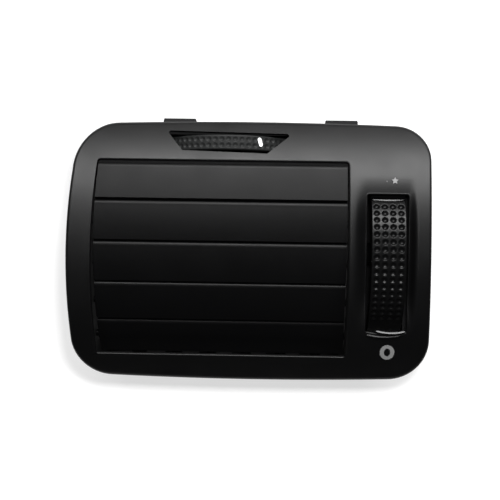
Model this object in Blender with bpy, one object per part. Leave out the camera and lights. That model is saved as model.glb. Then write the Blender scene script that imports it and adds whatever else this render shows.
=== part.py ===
# Dashboard air vent: curved bezel, five closing slats, six guide vanes, two knurled thumbwheels
import math

import bmesh
import bpy
import numpy as np
from mathutils import Matrix, Vector
from mathutils.bvhtree import BVHTree

MM = 0.001

# Bezel outline and face, in millimetres
BEZEL_L = -83.5
BEZEL_R = 83.6
BEZEL_T = 59.9
BEZEL_B = -60.1
FACE_R = 110.0
WALL = 2.0
SKIRT_DEPTH = 5.3
SKIRT_WALL = 2.0
EDGE_R = 2.6
BOW_TOP = 1.1
BOW_BOTTOM = 1.2
BOW_LEFT = 1.5
BOW_RIGHT = -0.6
CORNER_TL = (20.5, 23.7)
CORNER_TR = (16.3, 16.5)
CORNER_BR = (18.5, 18.7)
CORNER_BL = (19.0, 19.0)
EDGE_DEPTH = FACE_R - math.sqrt(FACE_R ** 2 - (BEZEL_B - BOW_BOTTOM) ** 2)
SKIRT_BACK = EDGE_DEPTH + SKIRT_DEPTH

# Slat opening
OPEN_L = -72.5
PANEL_W = 38.7
OPEN_R = BEZEL_R - PANEL_W
OPEN_T = 41.1
OPEN_B = -52.0
OPEN_BOW = 0.8
OPEN_CORNER = 2.2
OPEN_EDGE_R = 1.2

# Slats on their own arc behind the face
SLAT_COUNT = 5
SLAT_ARC_R = 95.7
SLAT_ARC_Z = 11.7
SLAT_RECESS = 3.5
SLAT_PITCH = 19.43
SLAT_TOP_GAP = 0.313
SLAT_FACE_R = 70.0
SLAT_CREST = 3.2
SLAT_THICK = 2.3
SLAT_NOSE = 2.1
SLAT_NOSE_R = 1.15
SLAT_END_GAP = 0.4
SLAT_LOW = -8.75
SLAT_HIGH = 10.1
SLAT_1_HIGH = 8.5
LAP_REACH = 11.65
LAP_T = 0.75
BOSS_R = 2.5
SHAFT_R = 1.5
SHAFT_GAP = 0.25
CRANK_LEN = 7.0
CRANK_T = 1.6
LINK_T = 1.8
LINK_W = 4.4
PIN_R = 1.2
SIDE_GAP = 0.5

# Duct
DUCT_WALL = 1.6
DUCT_TOP = 41.9
DUCT_BOTTOM = -53.4
DUCT_BACK = 84.0
TAPER_START = 66.0
NECK_END = 76.0
TAPER = 5.0
FLANGE_Y = SKIRT_BACK + 0.4
FLANGE_T = 2.2
FLANGE_BACK = FLANGE_Y + FLANGE_T
FLANGE_INSET = 1.6
SEAT_W = 1.1
SEAT_H = 0.5
TAB_W = 15.6
TAB_X = (BEZEL_L + 48.3, BEZEL_R - 41.2)
TAB_TOP = BEZEL_T + 3.0
TAB_DEPTH = 10.0
RIB_Y = 10.8
RIB_T = 1.5
RIB_DROP = 2.6
DUCT_L = OPEN_L - OPEN_BOW
SLAT_L = OPEN_L + SLAT_END_GAP
SLAT_R = OPEN_R - SLAT_END_GAP
CRANK_HIGH = DUCT_L - DUCT_WALL - SIDE_GAP
CRANK_LOW = CRANK_HIGH - CRANK_T
LINK_HIGH = CRANK_LOW - 0.4
LINK_LOW = LINK_HIGH - LINK_T

# Upright thumbwheel and its gears
WHEEL_R = 42.0
WHEEL_W = 16.0
WHEEL_X = OPEN_R + 18.7
WHEEL_PROUD = 0.8
WHEEL_Y = WHEEL_R - WHEEL_PROUD
WHEEL_Z = -0.5
WHEEL_RIM = 5.0
KNURL_PITCH_X = 3.75
KNURL_PITCH_Z = 3.52
KNURL_ROWS = 17
KNURL_TOP = 33.3
WHEEL_START = -104.0
WHEEL_END = 47.0
KNURL_DEPTH = 0.75
GEAR_X = OPEN_R + 4.7
GEAR_T = 3.0
GEAR_RATIO = 2.0
GEAR_TEETH = 20
GEAR_BACKLASH = 0.42

# Scoop round the upright thumbwheel
WINDOW_L = WHEEL_X - 9.3
WINDOW_R = WHEEL_X + 9.4
WINDOW_T = WHEEL_Z + 0.688 * WHEEL_R
WINDOW_B = WHEEL_Z - 0.874 * WHEEL_R
WINDOW_CORNER = 1.1
SCOOP_L = WINDOW_L + 0.3
SCOOP_R = WINDOW_R + 0.6
SCOOP_BLEND_L = 4.6
SCOOP_BLEND_R = 3.8
SCOOP_TOP = WINDOW_T + 7.6
SCOOP_FADE = 30.0
SCOOP_BOTTOM = WINDOW_B - 10.8
SCOOP_DEPTH = 4.2

# Level thumbwheel
DIAL_R = 36.0
DIAL_T = 7.2
DIAL_X = (OPEN_L + OPEN_R) / 2 + 2.4
DIAL_Y = DIAL_R + 7.0
DIAL_Z = OPEN_T + 9.8
DIAL_RIM = 5.0
DIAL_PITCH = 3.4
DIAL_REST = 25.0
DIAL_REACH = 86.0
SLOT_HIGH = DIAL_Z + 4.05
SLOT_LOW = DIAL_Z - 5.5
SLOT_CORNER = 1.2
SLOT_TOP = ((DIAL_X - 28.4, SLOT_HIGH), (DIAL_X + 29.2, SLOT_HIGH))
SLOT_BOTTOM = ((DIAL_X - 21.4, SLOT_LOW), (DIAL_X + 19.6, SLOT_LOW))

# Vanes
VANE_COUNT = 6
VANE_MARGIN = 16.2
VANE_PITCH = (OPEN_R - OPEN_L - 2 * VANE_MARGIN) / (VANE_COUNT - 1)
VANE_FRONT = 7.0
VANE_REAR = 15.0
VANE_THICK = 1.7
VANE_CRANK = 8.0
VANE_SPINDLE_R = 2.1
VANE_CRANK_T = 1.2
VANE_LINK_Z = DUCT_TOP + DUCT_WALL + 2.6

# Small parts
AXLE_R = 2.0
EAR_X = WHEEL_X + WHEEL_W / 2 + 1.9
EAR_T = 2.0
POST_R = 2.4
POST_TOP = DIAL_Z + 4.8
WASHER_R = 3.9
MARK_W = 2.0
MARK_LOW = DIAL_Z - 2.0
MARK_HIGH = DIAL_Z + 1.5
CLIP_X = (OPEN_L + 26.5, OPEN_R - 22.9)
CLIP_Y = FLANGE_BACK + 3.4
CLIP_T = 0.8
CLIP_W = 11.0
STUD_Y = CLIP_Y + 14.0
STUD_R = 1.6
SILL_Y = 26.6
SILL_TOP = OPEN_B + 2.15
ROD_STEPS = 10
HOLE_STEPS = 10
COVER_T = 1.0
COVER_GAP = 0.3
COVER_CORNER = 5.0
SILL_R = 1.2
SEAL_T = 3.4
SEAL_W = 6.0
RING_X = WHEEL_X + 0.7
RING_Z = WINDOW_B - 9.4
RING_OUT = (3.4, 3.5)
RING_IN = (1.45, 1.9)
STAR_X = WHEEL_X + 2.7
STAR_Z = WINDOW_T + 4.6
STAR_R = 1.7
PRINT_GAP = 0.12
PRINT_T = 0.2


def clear_scene():
    for obj in list(bpy.data.objects):
        bpy.data.objects.remove(obj, do_unlink=True)


def material(name, colour, roughness, metallic=0.0):
    mat = bpy.data.materials.new(name)
    mat.use_nodes = True
    shader = mat.node_tree.nodes["Principled BSDF"]
    shader.inputs["Base Color"].default_value = (colour[0], colour[1], colour[2], 1.0)
    shader.inputs["Roughness"].default_value = roughness
    shader.inputs["Metallic"].default_value = metallic
    mat.diffuse_color = (colour[0], colour[1], colour[2], 1.0)
    return mat


def make(name, verts, faces, mat=None):
    mesh = bpy.data.meshes.new(name)
    mesh.from_pydata([(x * MM, y * MM, z * MM) for x, y, z in verts], [], faces)
    mesh.validate()
    bm = bmesh.new()
    bm.from_mesh(mesh)
    bmesh.ops.remove_doubles(bm, verts=bm.verts, dist=1e-6)
    bmesh.ops.recalc_face_normals(bm, faces=bm.faces)
    bm.to_mesh(mesh)
    bm.free()
    obj = bpy.data.objects.new(name, mesh)
    bpy.context.scene.collection.objects.link(obj)
    if mat is not None:
        mesh.materials.append(mat)
    return obj


def place(axis, u, v, w):
    # Section plane coordinates u, v and the extrusion coordinate w along the axis
    if axis == "X":
        return (w, u, v)
    if axis == "Y":
        return (u, w, v)
    return (u, v, w)


def prism(name, outline, axis, low, high, mat=None):
    count = len(outline)
    verts = [place(axis, u, v, low) for u, v in outline]
    verts += [place(axis, u, v, high) for u, v in outline]
    faces = [tuple(range(count)), tuple(range(2 * count - 1, count - 1, -1))]
    for i in range(count):
        j = (i + 1) % count
        faces.append((i, j, count + j, count + i))
    return make(name, verts, faces, mat)


def box(name, low, high, mat=None):
    outline = [(low[0], low[1]), (high[0], low[1]), (high[0], high[1]), (low[0], high[1])]
    return prism(name, outline, "Z", low[2], high[2], mat)


def circle(cu, cv, radius, steps, start=0.0):
    angles = [start + 2 * math.pi * i / steps for i in range(steps)]
    return [(cu + radius * math.cos(a), cv + radius * math.sin(a)) for a in angles]


def rod(name, axis, cu, cv, radius, low, high, steps=16, mat=None):
    return prism(name, circle(cu, cv, radius, steps), axis, low, high, mat)


def drill(axis, cu, cv, radius, low, high):
    # Round cutter whose flats, not its corners, lie at the radius
    return rod("drill", axis, cu, cv, radius / math.cos(math.pi / HOLE_STEPS), low, high, HOLE_STEPS)


def ring(name, axis, cu, cv, inner, outer, low, high, steps=24, mat=None):
    verts = []
    for w in (low, high):
        for radius in (inner, outer):
            verts += [place(axis, u, v, w) for u, v in circle(cu, cv, radius, steps)]
    faces = []
    for i in range(steps):
        j = (i + 1) % steps
        faces.append((i, j, steps + j, steps + i))
        faces.append((2 * steps + i, 3 * steps + i, 3 * steps + j, 2 * steps + j))
        faces.append((i, 2 * steps + i, 2 * steps + j, j))
        faces.append((steps + i, steps + j, 3 * steps + j, 3 * steps + i))
    return make(name, verts, faces, mat)


def boolean(target, tools, operation):
    for tool in tools:
        mod = target.modifiers.new("Boolean", "BOOLEAN")
        mod.operation = operation
        mod.solver = "EXACT"
        mod.object = tool
        bpy.context.view_layer.update()
        depsgraph = bpy.context.evaluated_depsgraph_get()
        result = bpy.data.meshes.new_from_object(target.evaluated_get(depsgraph))
        target.modifiers.clear()
        old = target.data
        target.data = result
        result.name = target.name
        bpy.data.meshes.remove(old)
        bpy.data.objects.remove(tool, do_unlink=True)
        bm = bmesh.new()
        bm.from_mesh(target.data)
        bmesh.ops.remove_doubles(bm, verts=bm.verts, dist=2e-6)
        bmesh.ops.dissolve_degenerate(bm, dist=1e-6, edges=bm.edges)
        bm.to_mesh(target.data)
        bm.free()
    return target


def join(target, *tools):
    return boolean(target, tools, "UNION")


def cut(target, *tools):
    return boolean(target, tools, "DIFFERENCE")


def smooth(obj, degrees=32.0):
    obj.data.set_sharp_from_angle(angle=math.radians(degrees))
    for poly in obj.data.polygons:
        poly.use_smooth = True
    return obj


def set_pivot(obj, pivot):
    # The object's origin moves to its joint axis and the mesh stays where it is
    offset = Vector([c * MM for c in pivot])
    obj.data.transform(Matrix.Translation(-offset))
    obj.location = offset
    return obj


def face_depth(z):
    return FACE_R - math.sqrt(FACE_R * FACE_R - z * z)


def ease(t):
    t = min(1.0, max(0.0, t))
    return t * t * (3.0 - 2.0 * t)


def scoop(x, z):
    left = ease((x - SCOOP_L + SCOOP_BLEND_L) / SCOOP_BLEND_L)
    right = ease((SCOOP_R + SCOOP_BLEND_R - x) / SCOOP_BLEND_R)
    upper = ease((SCOOP_TOP - z) / SCOOP_FADE)
    lower = ease((z - SCOOP_BOTTOM) / (WINDOW_B - SCOOP_BOTTOM))
    return SCOOP_DEPTH * left * right * upper * lower


def front_depth(x, z):
    return face_depth(z) + scoop(x, z)


def corner_points(cx, cz, rx, rz, start, steps):
    points = []
    for i in range(steps + 1):
        a = math.radians(start + 90.0 * i / steps)
        points.append((cx + rx * math.cos(a), cz + rz * math.sin(a)))
    return points


def side_points(a, b, marks, bow, outward):
    points = []
    for t in marks:
        lift = bow * 4.0 * t * (1.0 - t)
        x = a[0] + (b[0] - a[0]) * t + outward[0] * lift
        z = a[1] + (b[1] - a[1]) * t + outward[1] * lift
        points.append((x, z))
    return points


def loop_points(rect, radii, bows, marks, steps):
    # Counter-clockwise seen from behind: top right corner, top left, bottom left, bottom right
    left, right, bottom, top = rect
    tr, tl, bl, br = radii
    corners = [
        corner_points(right - tr[0], top - tr[1], tr[0], tr[1], 0.0, steps),
        corner_points(left + tl[0], top - tl[1], tl[0], tl[1], 90.0, steps),
        corner_points(left + bl[0], bottom + bl[1], bl[0], bl[1], 180.0, steps),
        corner_points(right - br[0], bottom + br[1], br[0], br[1], 270.0, steps),
    ]
    outward = [(0.0, 1.0), (-1.0, 0.0), (0.0, -1.0), (1.0, 0.0)]
    points = []
    for i in range(4):
        points += corners[i]
        points += side_points(corners[i][-1], corners[(i + 1) % 4][0], marks[i], bows[i], outward[i])
    return points


def spaced(count):
    return [(i + 1) / (count + 1) for i in range(count)]


def outline_loop(inset, marks, steps):
    rect = (BEZEL_L + inset, BEZEL_R - inset, BEZEL_B + inset, BEZEL_T - inset)
    radii = [(r[0] - inset, r[1] - inset) for r in (CORNER_TR, CORNER_TL, CORNER_BL, CORNER_BR)]
    return loop_points(rect, radii, (BOW_TOP, BOW_LEFT, BOW_BOTTOM, BOW_RIGHT), marks, steps)


def opening_loop(grow, marks, steps):
    rect = (OPEN_L - grow, OPEN_R + grow, OPEN_B - grow, OPEN_T + grow)
    radii = [(OPEN_CORNER + grow, OPEN_CORNER + grow)] * 4
    return loop_points(rect, radii, (0.0, OPEN_BOW, 0.0, 0.0), marks, steps)


def bezel_shell(mat, marks, steps, margin):
    # Rings run from the skirt's rear edge over the face into the opening and back under the face
    rings = []
    count = len(outline_loop(0.0, marks, steps))

    def add(points, depth):
        rings.append([(x, depth(x, z), z) for x, z in points])

    outer = outline_loop(0.0, marks, steps)
    add(outer, lambda x, z: SKIRT_BACK)
    for angle in (0.0, 30.0, 60.0, 90.0):
        inset = EDGE_R * (1.0 - math.cos(math.radians(angle)))
        drop = EDGE_R * (1.0 - math.sin(math.radians(angle)))
        add(outline_loop(inset, marks, steps), lambda x, z, d=drop: face_depth(z) + d)
    start = outline_loop(EDGE_R, marks, steps)
    finish = opening_loop(OPEN_EDGE_R, marks, steps)
    for t in margin:
        points = [(a[0] + (b[0] - a[0]) * t, a[1] + (b[1] - a[1]) * t) for a, b in zip(start, finish)]
        add(points, front_depth)
    for angle in (90.0, 45.0, 0.0):
        grow = OPEN_EDGE_R * (1.0 - math.cos(math.radians(angle)))
        drop = OPEN_EDGE_R * (1.0 - math.sin(math.radians(angle)))
        add(opening_loop(grow, marks, steps), lambda x, z, d=drop: face_depth(z) + d)
    add(opening_loop(0.0, marks, steps), lambda x, z: face_depth(z) + WALL)
    inner = outline_loop(SKIRT_WALL + 1.2, marks, steps)
    finish = opening_loop(1.5, marks, steps)
    for t in [1.0] + list(reversed(margin[1::2])) + [0.0]:
        points = [(a[0] + (b[0] - a[0]) * t, a[1] + (b[1] - a[1]) * t) for a, b in zip(inner, finish)]
        add(points, lambda x, z: front_depth(x, z) + WALL)
    add(outline_loop(SKIRT_WALL, marks, steps), lambda x, z: face_depth(z) + WALL + 1.2)
    add(outline_loop(SKIRT_WALL, marks, steps), lambda x, z: SKIRT_BACK)
    verts = [p for r in rings for p in r]
    faces = []
    total = len(rings)
    for k in range(total):
        n = (k + 1) % total
        for i in range(count):
            j = (i + 1) % count
            a, b, c, d = k * count + i, k * count + j, n * count + j, n * count + i
            faces.append((a, b, c))
            faces.append((a, c, d))
    return make("bezel", verts, faces, mat)


def arc_point(t, inward):
    radius = SLAT_ARC_R - inward
    y = SLAT_RECESS + SLAT_ARC_R - radius * math.cos(t)
    return (y, SLAT_ARC_Z + radius * math.sin(t))


def slat_angle(index):
    return SLAT_TOP_GAP - (index + 0.5) * SLAT_PITCH / SLAT_ARC_R


def slat_pivot(index):
    return arc_point(slat_angle(index), SLAT_CREST)


def slat_section(index, top):
    # Shell section with a round nose above and a thin lap below, in the slat's own s and n directions
    def crest(s):
        return SLAT_CREST - (SLAT_FACE_R - math.sqrt(SLAT_FACE_R * SLAT_FACE_R - s * s))

    pts = [(s, crest(s)) for s in np.linspace(SLAT_LOW, top - SLAT_NOSE, 8)]
    nose_s = top - SLAT_NOSE
    nose_n = crest(nose_s) - SLAT_NOSE_R
    for angle in (62.0, 35.0, 5.0, -25.0, -55.0):
        a = math.radians(angle)
        pts.append((nose_s + SLAT_NOSE * math.cos(a), nose_n + SLAT_NOSE_R * math.sin(a)))
    for s in np.linspace(nose_s - 0.6, SLAT_LOW + 2.15, 5):
        pts.append((s, crest(s) - SLAT_THICK))
    lap = -LAP_T - 1.0
    pts += [(SLAT_LOW + 0.25, lap), (-LAP_REACH, lap - 0.3), (-LAP_REACH, lap + LAP_T - 0.3)]
    pts.append((SLAT_LOW - 0.35, lap + LAP_T + 0.2))
    tilt = slat_angle(index)
    py, pz = slat_pivot(index)
    section = []
    for s, n in pts:
        y = py + s * math.sin(tilt) - n * math.cos(tilt)
        z = pz + s * math.cos(tilt) + n * math.sin(tilt)
        section.append((y, z))
    return section


def crank_tip(index):
    py, pz = slat_pivot(index)
    reach = CRANK_LEN * math.sqrt(0.5)
    return (py + reach, pz - reach)


def capsule(a, b, radius, steps=4):
    # Outline of a bar with round ends between two points
    direction = math.atan2(b[1] - a[1], b[0] - a[0])
    points = []
    for i in range(steps + 1):
        t = direction + math.pi / 2 + math.pi * i / steps
        points.append((a[0] + radius * math.cos(t), a[1] + radius * math.sin(t)))
    for i in range(steps + 1):
        t = direction - math.pi / 2 + math.pi * i / steps
        points.append((b[0] + radius * math.cos(t), b[1] + radius * math.sin(t)))
    return points


def build_slat(index, mat):
    py, pz = slat_pivot(index)
    top = SLAT_1_HIGH if index == 0 else SLAT_HIGH
    name = f"slat_{index + 1}"
    slat = prism(name, slat_section(index, top), "X", SLAT_L, SLAT_R, mat)
    join(slat, rod("boss_l", "X", py, pz, BOSS_R, SLAT_L + 0.01, SLAT_L + BOSS_R, ROD_STEPS))
    join(slat, rod("boss_r", "X", py, pz, BOSS_R, SLAT_R - BOSS_R, SLAT_R - 0.01, ROD_STEPS))
    join(slat, rod("shaft_l", "X", py, pz, SHAFT_R, CRANK_LOW + 0.6, SLAT_L + 1.6, ROD_STEPS))
    right = GEAR_X + GEAR_T / 2 + 0.8 if index == 2 else OPEN_R + DUCT_WALL + 0.6
    join(slat, rod("shaft_r", "X", py, pz, SHAFT_R, SLAT_R - 1.6, right, ROD_STEPS))
    tip = crank_tip(index)
    join(slat, prism("crank", capsule((py, pz), tip, 1.85), "X", CRANK_LOW, CRANK_HIGH))
    join(slat, rod("pin", "X", tip[0], tip[1], PIN_R, LINK_LOW - 0.5, CRANK_HIGH - 0.5, ROD_STEPS))
    smooth(slat)
    return set_pivot(slat, (0.0, py, pz))


def build_slat_link(mat):
    tips = [crank_tip(i) for i in range(SLAT_COUNT)]
    link = prism("slat_link", capsule(tips[0], tips[1], LINK_W / 2), "X", LINK_LOW, LINK_HIGH, mat)
    for a, b in zip(tips[1:-1], tips[2:]):
        join(link, prism("bar", capsule(a, b, LINK_W / 2 - 0.02), "X", LINK_LOW, LINK_HIGH))
    for tip in tips:
        cut(link, drill("X", tip[0], tip[1], PIN_R + SHAFT_GAP, LINK_LOW - 1.0, LINK_HIGH + 1.0))
    smooth(link)
    return set_pivot(link, (0.0, tips[2][0], tips[2][1]))


def involute(base, radius):
    return math.tan(math.acos(min(1.0, base / radius))) - math.acos(min(1.0, base / radius))


def tooth_outline(teeth, module, backlash):
    # One tooth about angle zero, from its root on one side to its root on the other
    pitch = teeth * module / 2
    base = pitch * math.cos(math.radians(20.0))
    root = pitch - 1.25 * module
    tip = pitch + 0.9 * module
    half = (math.pi * module / 2 - backlash) / pitch / 2
    side = []
    for radius in np.linspace(max(base, root), tip, 5):
        side.append((radius, half + involute(base, pitch) - involute(base, radius)))
    if base > root:
        side.insert(0, (root, side[0][1] + 0.004))
    else:
        side[0] = (root, side[0][1])
    return [(r, a) for r, a in side] + [(r, -a) for r, a in reversed(side)]


def gear_sector(name, centre, teeth, module, first, phase, count, hub, low, high, mat=None):
    # Toothed sector: the teeth with numbers first to first + count - 1, closed through the hub
    pitch_angle = 2 * math.pi / teeth
    points = []
    root = teeth * module / 2 - 1.25 * module
    for k in range(first, first + count):
        middle = phase + k * pitch_angle
        for radius, a in reversed(tooth_outline(teeth, module, GEAR_BACKLASH)):
            points.append((radius, middle + a))
    start = points[0][1] - pitch_angle * 0.3
    end = points[-1][1] + pitch_angle * 0.3
    points = [(root, start)] + points + [(root, end)]
    sweep = 2 * math.pi - (end - start)
    for i in range(1, 6):
        points.append((hub, end + sweep * i / 6))
    outline = [(centre[0] + r * math.cos(a), centre[1] + r * math.sin(a)) for r, a in points]
    return prism(name, outline, "X", low, high, mat)


def gear_layout():
    py, pz = slat_pivot(2)
    distance = math.hypot(WHEEL_Y - py, WHEEL_Z - pz)
    module = 2 * distance / (GEAR_TEETH * (1 + GEAR_RATIO))
    toward_wheel = math.atan2(WHEEL_Z - pz, WHEEL_Y - py)
    return py, pz, module, toward_wheel


def build_pinion(mat):
    # The teeth run from the mesh point up, so that they roll down past it as the slats open
    py, pz, module, toward = gear_layout()
    low = GEAR_X - GEAR_T / 2
    high = GEAR_X + GEAR_T / 2
    pinion = gear_sector("slat_pinion", (py, pz), GEAR_TEETH, module, -6, toward, 8, 4.2, low, high, mat)
    cut(pinion, drill("X", py, pz, SHAFT_R + 0.05, low - 1.0, high + 1.0))
    smooth(pinion)
    return set_pivot(pinion, (0.0, py, pz))


def knurled_drum(name, axis, centre, radius, rim, low, high, cells, rows, angles, mat):
    # Rim sector whose outer face carries a grid of six-sided dimples; angles run along the rim
    across, pitch = cells
    middle = (low + high) / 2
    side = (high - low - across * pitch) / 2
    edges = [low, low + 0.5] + [low + side + pitch * i for i in range(across + 1)] + [high - 0.5, high]
    knurl = [rows[0] + rows[2] * i for i in range(rows[1] + 1)]
    before = [a for a in np.arange(angles[0], knurl[0] - 0.02, math.radians(9.0))]
    after = [a for a in np.arange(angles[1], knurl[-1] + 0.02, -math.radians(9.0))][::-1]
    stations = before + knurl + after
    verts = []
    faces = []

    def point(angle, w, r):
        # The angle is measured from the front, upward about X and to the right about Z
        u = centre[0] - r * math.cos(angle)
        v = centre[1] + r * math.sin(angle)
        return (w, u, v) if axis == "X" else (v, u, w)

    columns = len(edges)
    for angle in stations:
        for k, w in enumerate(edges):
            drop = 0.5 if k in (0, columns - 1) else 0.0
            verts.append(point(angle, w, radius - drop))
    for i in range(len(stations) - 1):
        for k in range(columns - 1):
            a, b = i * columns + k, i * columns + k + 1
            c, d = b + columns, a + columns
            inside = len(before) <= i < len(before) + rows[1] and 2 <= k < columns - 3
            if not inside:
                faces.append((a, b, c, d))
                continue
            ca = (stations[i] + stations[i + 1]) / 2
            cw = (edges[k] + edges[k + 1]) / 2
            half_a = (stations[i + 1] - stations[i]) / 2
            half_w = (edges[k + 1] - edges[k]) / 2
            first = len(verts)
            for q in range(6):
                t = math.pi * (q / 3 + 1)
                verts.append(point(ca + half_a * 0.8 * math.sin(t), cw + half_w * 0.8 * math.cos(t), radius))
            verts.append(point(ca, cw, radius - KNURL_DEPTH))
            for q in range(6):
                faces.append((first + q, first + (q + 1) % 6, first + 6))
            faces += [(a, first + 1, first), (a, b, first + 2, first + 1), (b, first + 3, first + 2)]
            faces += [(b, c, first + 3), (c, first + 4, first + 3), (c, d, first + 5, first + 4)]
            faces += [(d, first, first + 5), (d, a, first)]
    inner = len(verts)
    for angle in stations:
        verts.append(point(angle, low, radius - rim))
        verts.append(point(angle, high, radius - rim))
    last = len(stations) - 1
    for i in range(last):
        p, q = inner + 2 * i, inner + 2 * i + 1
        faces.append((p, q, q + 2, p + 2))
        faces.append((p, p + 2, (i + 1) * columns, i * columns))
        faces.append((q, q + 2, (i + 1) * columns + columns - 1, i * columns + columns - 1))
    for i in (0, last):
        ends = [i * columns + k for k in range(columns)]
        faces.append(tuple(ends + [inner + 2 * i + 1, inner + 2 * i]))
    return make(name, verts, faces, mat)


def sector_outline(axis, centre, radius, start, end, hub, steps):
    # Pie slice with a round hub; the angle is measured from the front, upward or to the right
    points = []
    for i in range(steps + 1):
        a = start + (end - start) * i / steps
        points.append((-radius * math.cos(a), radius * math.sin(a)))
    sweep = 2 * math.pi - (end - start)
    for i in range(1, 6):
        a = end + sweep * i / 6
        points.append((-hub * math.cos(a), hub * math.sin(a)))
    if axis == "X":
        return [(centre[0] + u, centre[1] + v) for u, v in points]
    return [(centre[1] + v, centre[0] + u) for u, v in points]


def build_slat_wheel(mat):
    centre = (WHEEL_Y, WHEEL_Z)
    low = WHEEL_X - WHEEL_W / 2
    high = WHEEL_X + WHEEL_W / 2
    start, end = math.radians(WHEEL_START), math.radians(WHEEL_END)
    step = KNURL_PITCH_Z / WHEEL_R
    rows = (math.radians(KNURL_TOP) - KNURL_ROWS * step, KNURL_ROWS, step)
    wheel = knurled_drum(
        "slat_wheel", "X", centre, WHEEL_R, WHEEL_RIM, low, high, (4, KNURL_PITCH_X), rows, (start, end), mat
    )
    web = sector_outline("X", centre, WHEEL_R - WHEEL_RIM + 1.2, start + 0.02, end - 0.02, 6.0, 24)
    join(wheel, prism("web", web, "X", WHEEL_X - 2.0, WHEEL_X + 2.0))
    py, pz, module, toward = gear_layout()
    teeth = int(GEAR_TEETH * GEAR_RATIO)
    phase = toward + math.pi + math.pi / teeth
    gear_low = GEAR_X - GEAR_T / 2
    gear = gear_sector("gear", centre, teeth, module, -3, phase, 10, 6.0, gear_low, GEAR_X + GEAR_T / 2)
    join(wheel, rod("hub", "X", centre[0], centre[1], 5.2, gear_low + 0.4, high + 0.9, 20))
    join(wheel, gear)
    cut(wheel, drill("X", centre[0], centre[1], AXLE_R + SHAFT_GAP, gear_low - 2.0, high + 3.0))
    smooth(wheel)
    return set_pivot(wheel, (0.0, centre[0], centre[1]))


def dial_crank():
    a = math.radians(DIAL_REST)
    return (-VANE_CRANK * math.sin(a), VANE_CRANK * math.cos(a))


def build_vane_wheel(mat):
    centre = (DIAL_Y, DIAL_X)
    low = DIAL_Z - DIAL_T / 2
    high = DIAL_Z + DIAL_T / 2
    reach = math.radians(DIAL_REACH)
    middle = math.radians(DIAL_REST)
    step = DIAL_PITCH / DIAL_R
    rows = int(2 * (reach - 0.05) / step)
    first = middle - rows * step / 2
    wheel = knurled_drum(
        "vane_wheel", "Z", centre, DIAL_R, DIAL_RIM, low, high, (2, 3.0), (first, rows, step),
        (middle - reach, middle + reach), mat
    )
    web = sector_outline("Z", centre, DIAL_R - DIAL_RIM + 1.2, middle - reach + 0.02, middle + reach - 0.02, 6.5, 24)
    join(wheel, prism("web", web, "Z", DIAL_Z - 1.2, DIAL_Z + 1.2))
    join(wheel, rod("hub", "Z", DIAL_X, DIAL_Y, 5.6, low, high, 20))
    dx, dy = dial_crank()
    join(wheel, rod("arm", "Z", DIAL_X + dx, DIAL_Y + dy, 3.0, low + 0.1, DIAL_Z, ROD_STEPS))
    join(wheel, rod("pin", "Z", DIAL_X + dx, DIAL_Y + dy, PIN_R, VANE_LINK_Z - 0.9, low + 1.0, ROD_STEPS))
    cut(wheel, drill("Z", DIAL_X, DIAL_Y, POST_R + SHAFT_GAP, low - 4.0, high + 2.0))
    cut(wheel, mark_block("pocket", 0.12))
    smooth(wheel)
    return set_pivot(wheel, (DIAL_X, DIAL_Y, 0.0))


def mark_block(name, grow, mat=None):
    # Upright block let into the rim of the level thumbwheel
    width = MARK_W / 2 + grow
    inner = DIAL_R - 1.4 - grow
    outer = DIAL_R + 0.15 + (2.0 if grow > 0.0 else 0.0)
    a = math.radians(DIAL_REST)
    outline = []
    for side, radius in ((-width, inner), (width, inner), (width, outer), (-width, outer)):
        x = DIAL_X + radius * math.sin(a) + side * math.cos(a)
        y = DIAL_Y - radius * math.cos(a) + side * math.sin(a)
        outline.append((x, y))
    return prism(name, outline, "Z", MARK_LOW - grow, MARK_HIGH + grow, mat)


def vane_x(index):
    return DIAL_X + (index - (VANE_COUNT - 1) / 2) * VANE_PITCH


def build_vane(index, mat):
    # Upright blade with a round front edge and a thin rear edge, turned to the photographed setting
    x = vane_x(index)
    a = math.radians(DIAL_REST)
    half = VANE_THICK / 2
    section = [(-half * 0.3, VANE_REAR), (-half, 3.0), (-half, -VANE_FRONT + half)]
    section += [(half * math.cos(t), -VANE_FRONT + half - half * math.sin(t)) for t in (2.4, 1.57, 0.74)]
    section += [(half, -VANE_FRONT + half), (half, 3.0), (half * 0.3, VANE_REAR)]
    outline = []
    for u, v in section:
        outline.append((x + u * math.cos(a) - v * math.sin(a), DIAL_Y + u * math.sin(a) + v * math.cos(a)))
    vane = prism(f"vane_{index + 1}", outline, "Z", DUCT_BOTTOM + 0.5, DUCT_TOP - 0.5, mat)
    join(vane, rod("spindle", "Z", x, DIAL_Y, VANE_SPINDLE_R, DUCT_BOTTOM + 0.6, DUCT_TOP - 0.6, ROD_STEPS))
    join(vane, rod("lower", "Z", x, DIAL_Y, SHAFT_R, DUCT_BOTTOM - 1.5, DUCT_BOTTOM + 2.0, ROD_STEPS))
    crank_low = DUCT_TOP + DUCT_WALL + 0.4
    join(vane, rod("upper", "Z", x, DIAL_Y, SHAFT_R, DUCT_TOP - 2.0, crank_low + 0.6, ROD_STEPS))
    dx, dy = dial_crank()
    tip = (x + dx, DIAL_Y + dy)
    join(vane, prism("crank", capsule((x, DIAL_Y), tip, VANE_SPINDLE_R), "Z", crank_low, crank_low + VANE_CRANK_T))
    join(vane, rod("pin", "Z", tip[0], tip[1], PIN_R, crank_low + 0.5, VANE_LINK_Z + 0.9, ROD_STEPS))
    smooth(vane)
    return set_pivot(vane, (x, DIAL_Y, 0.0))


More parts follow.
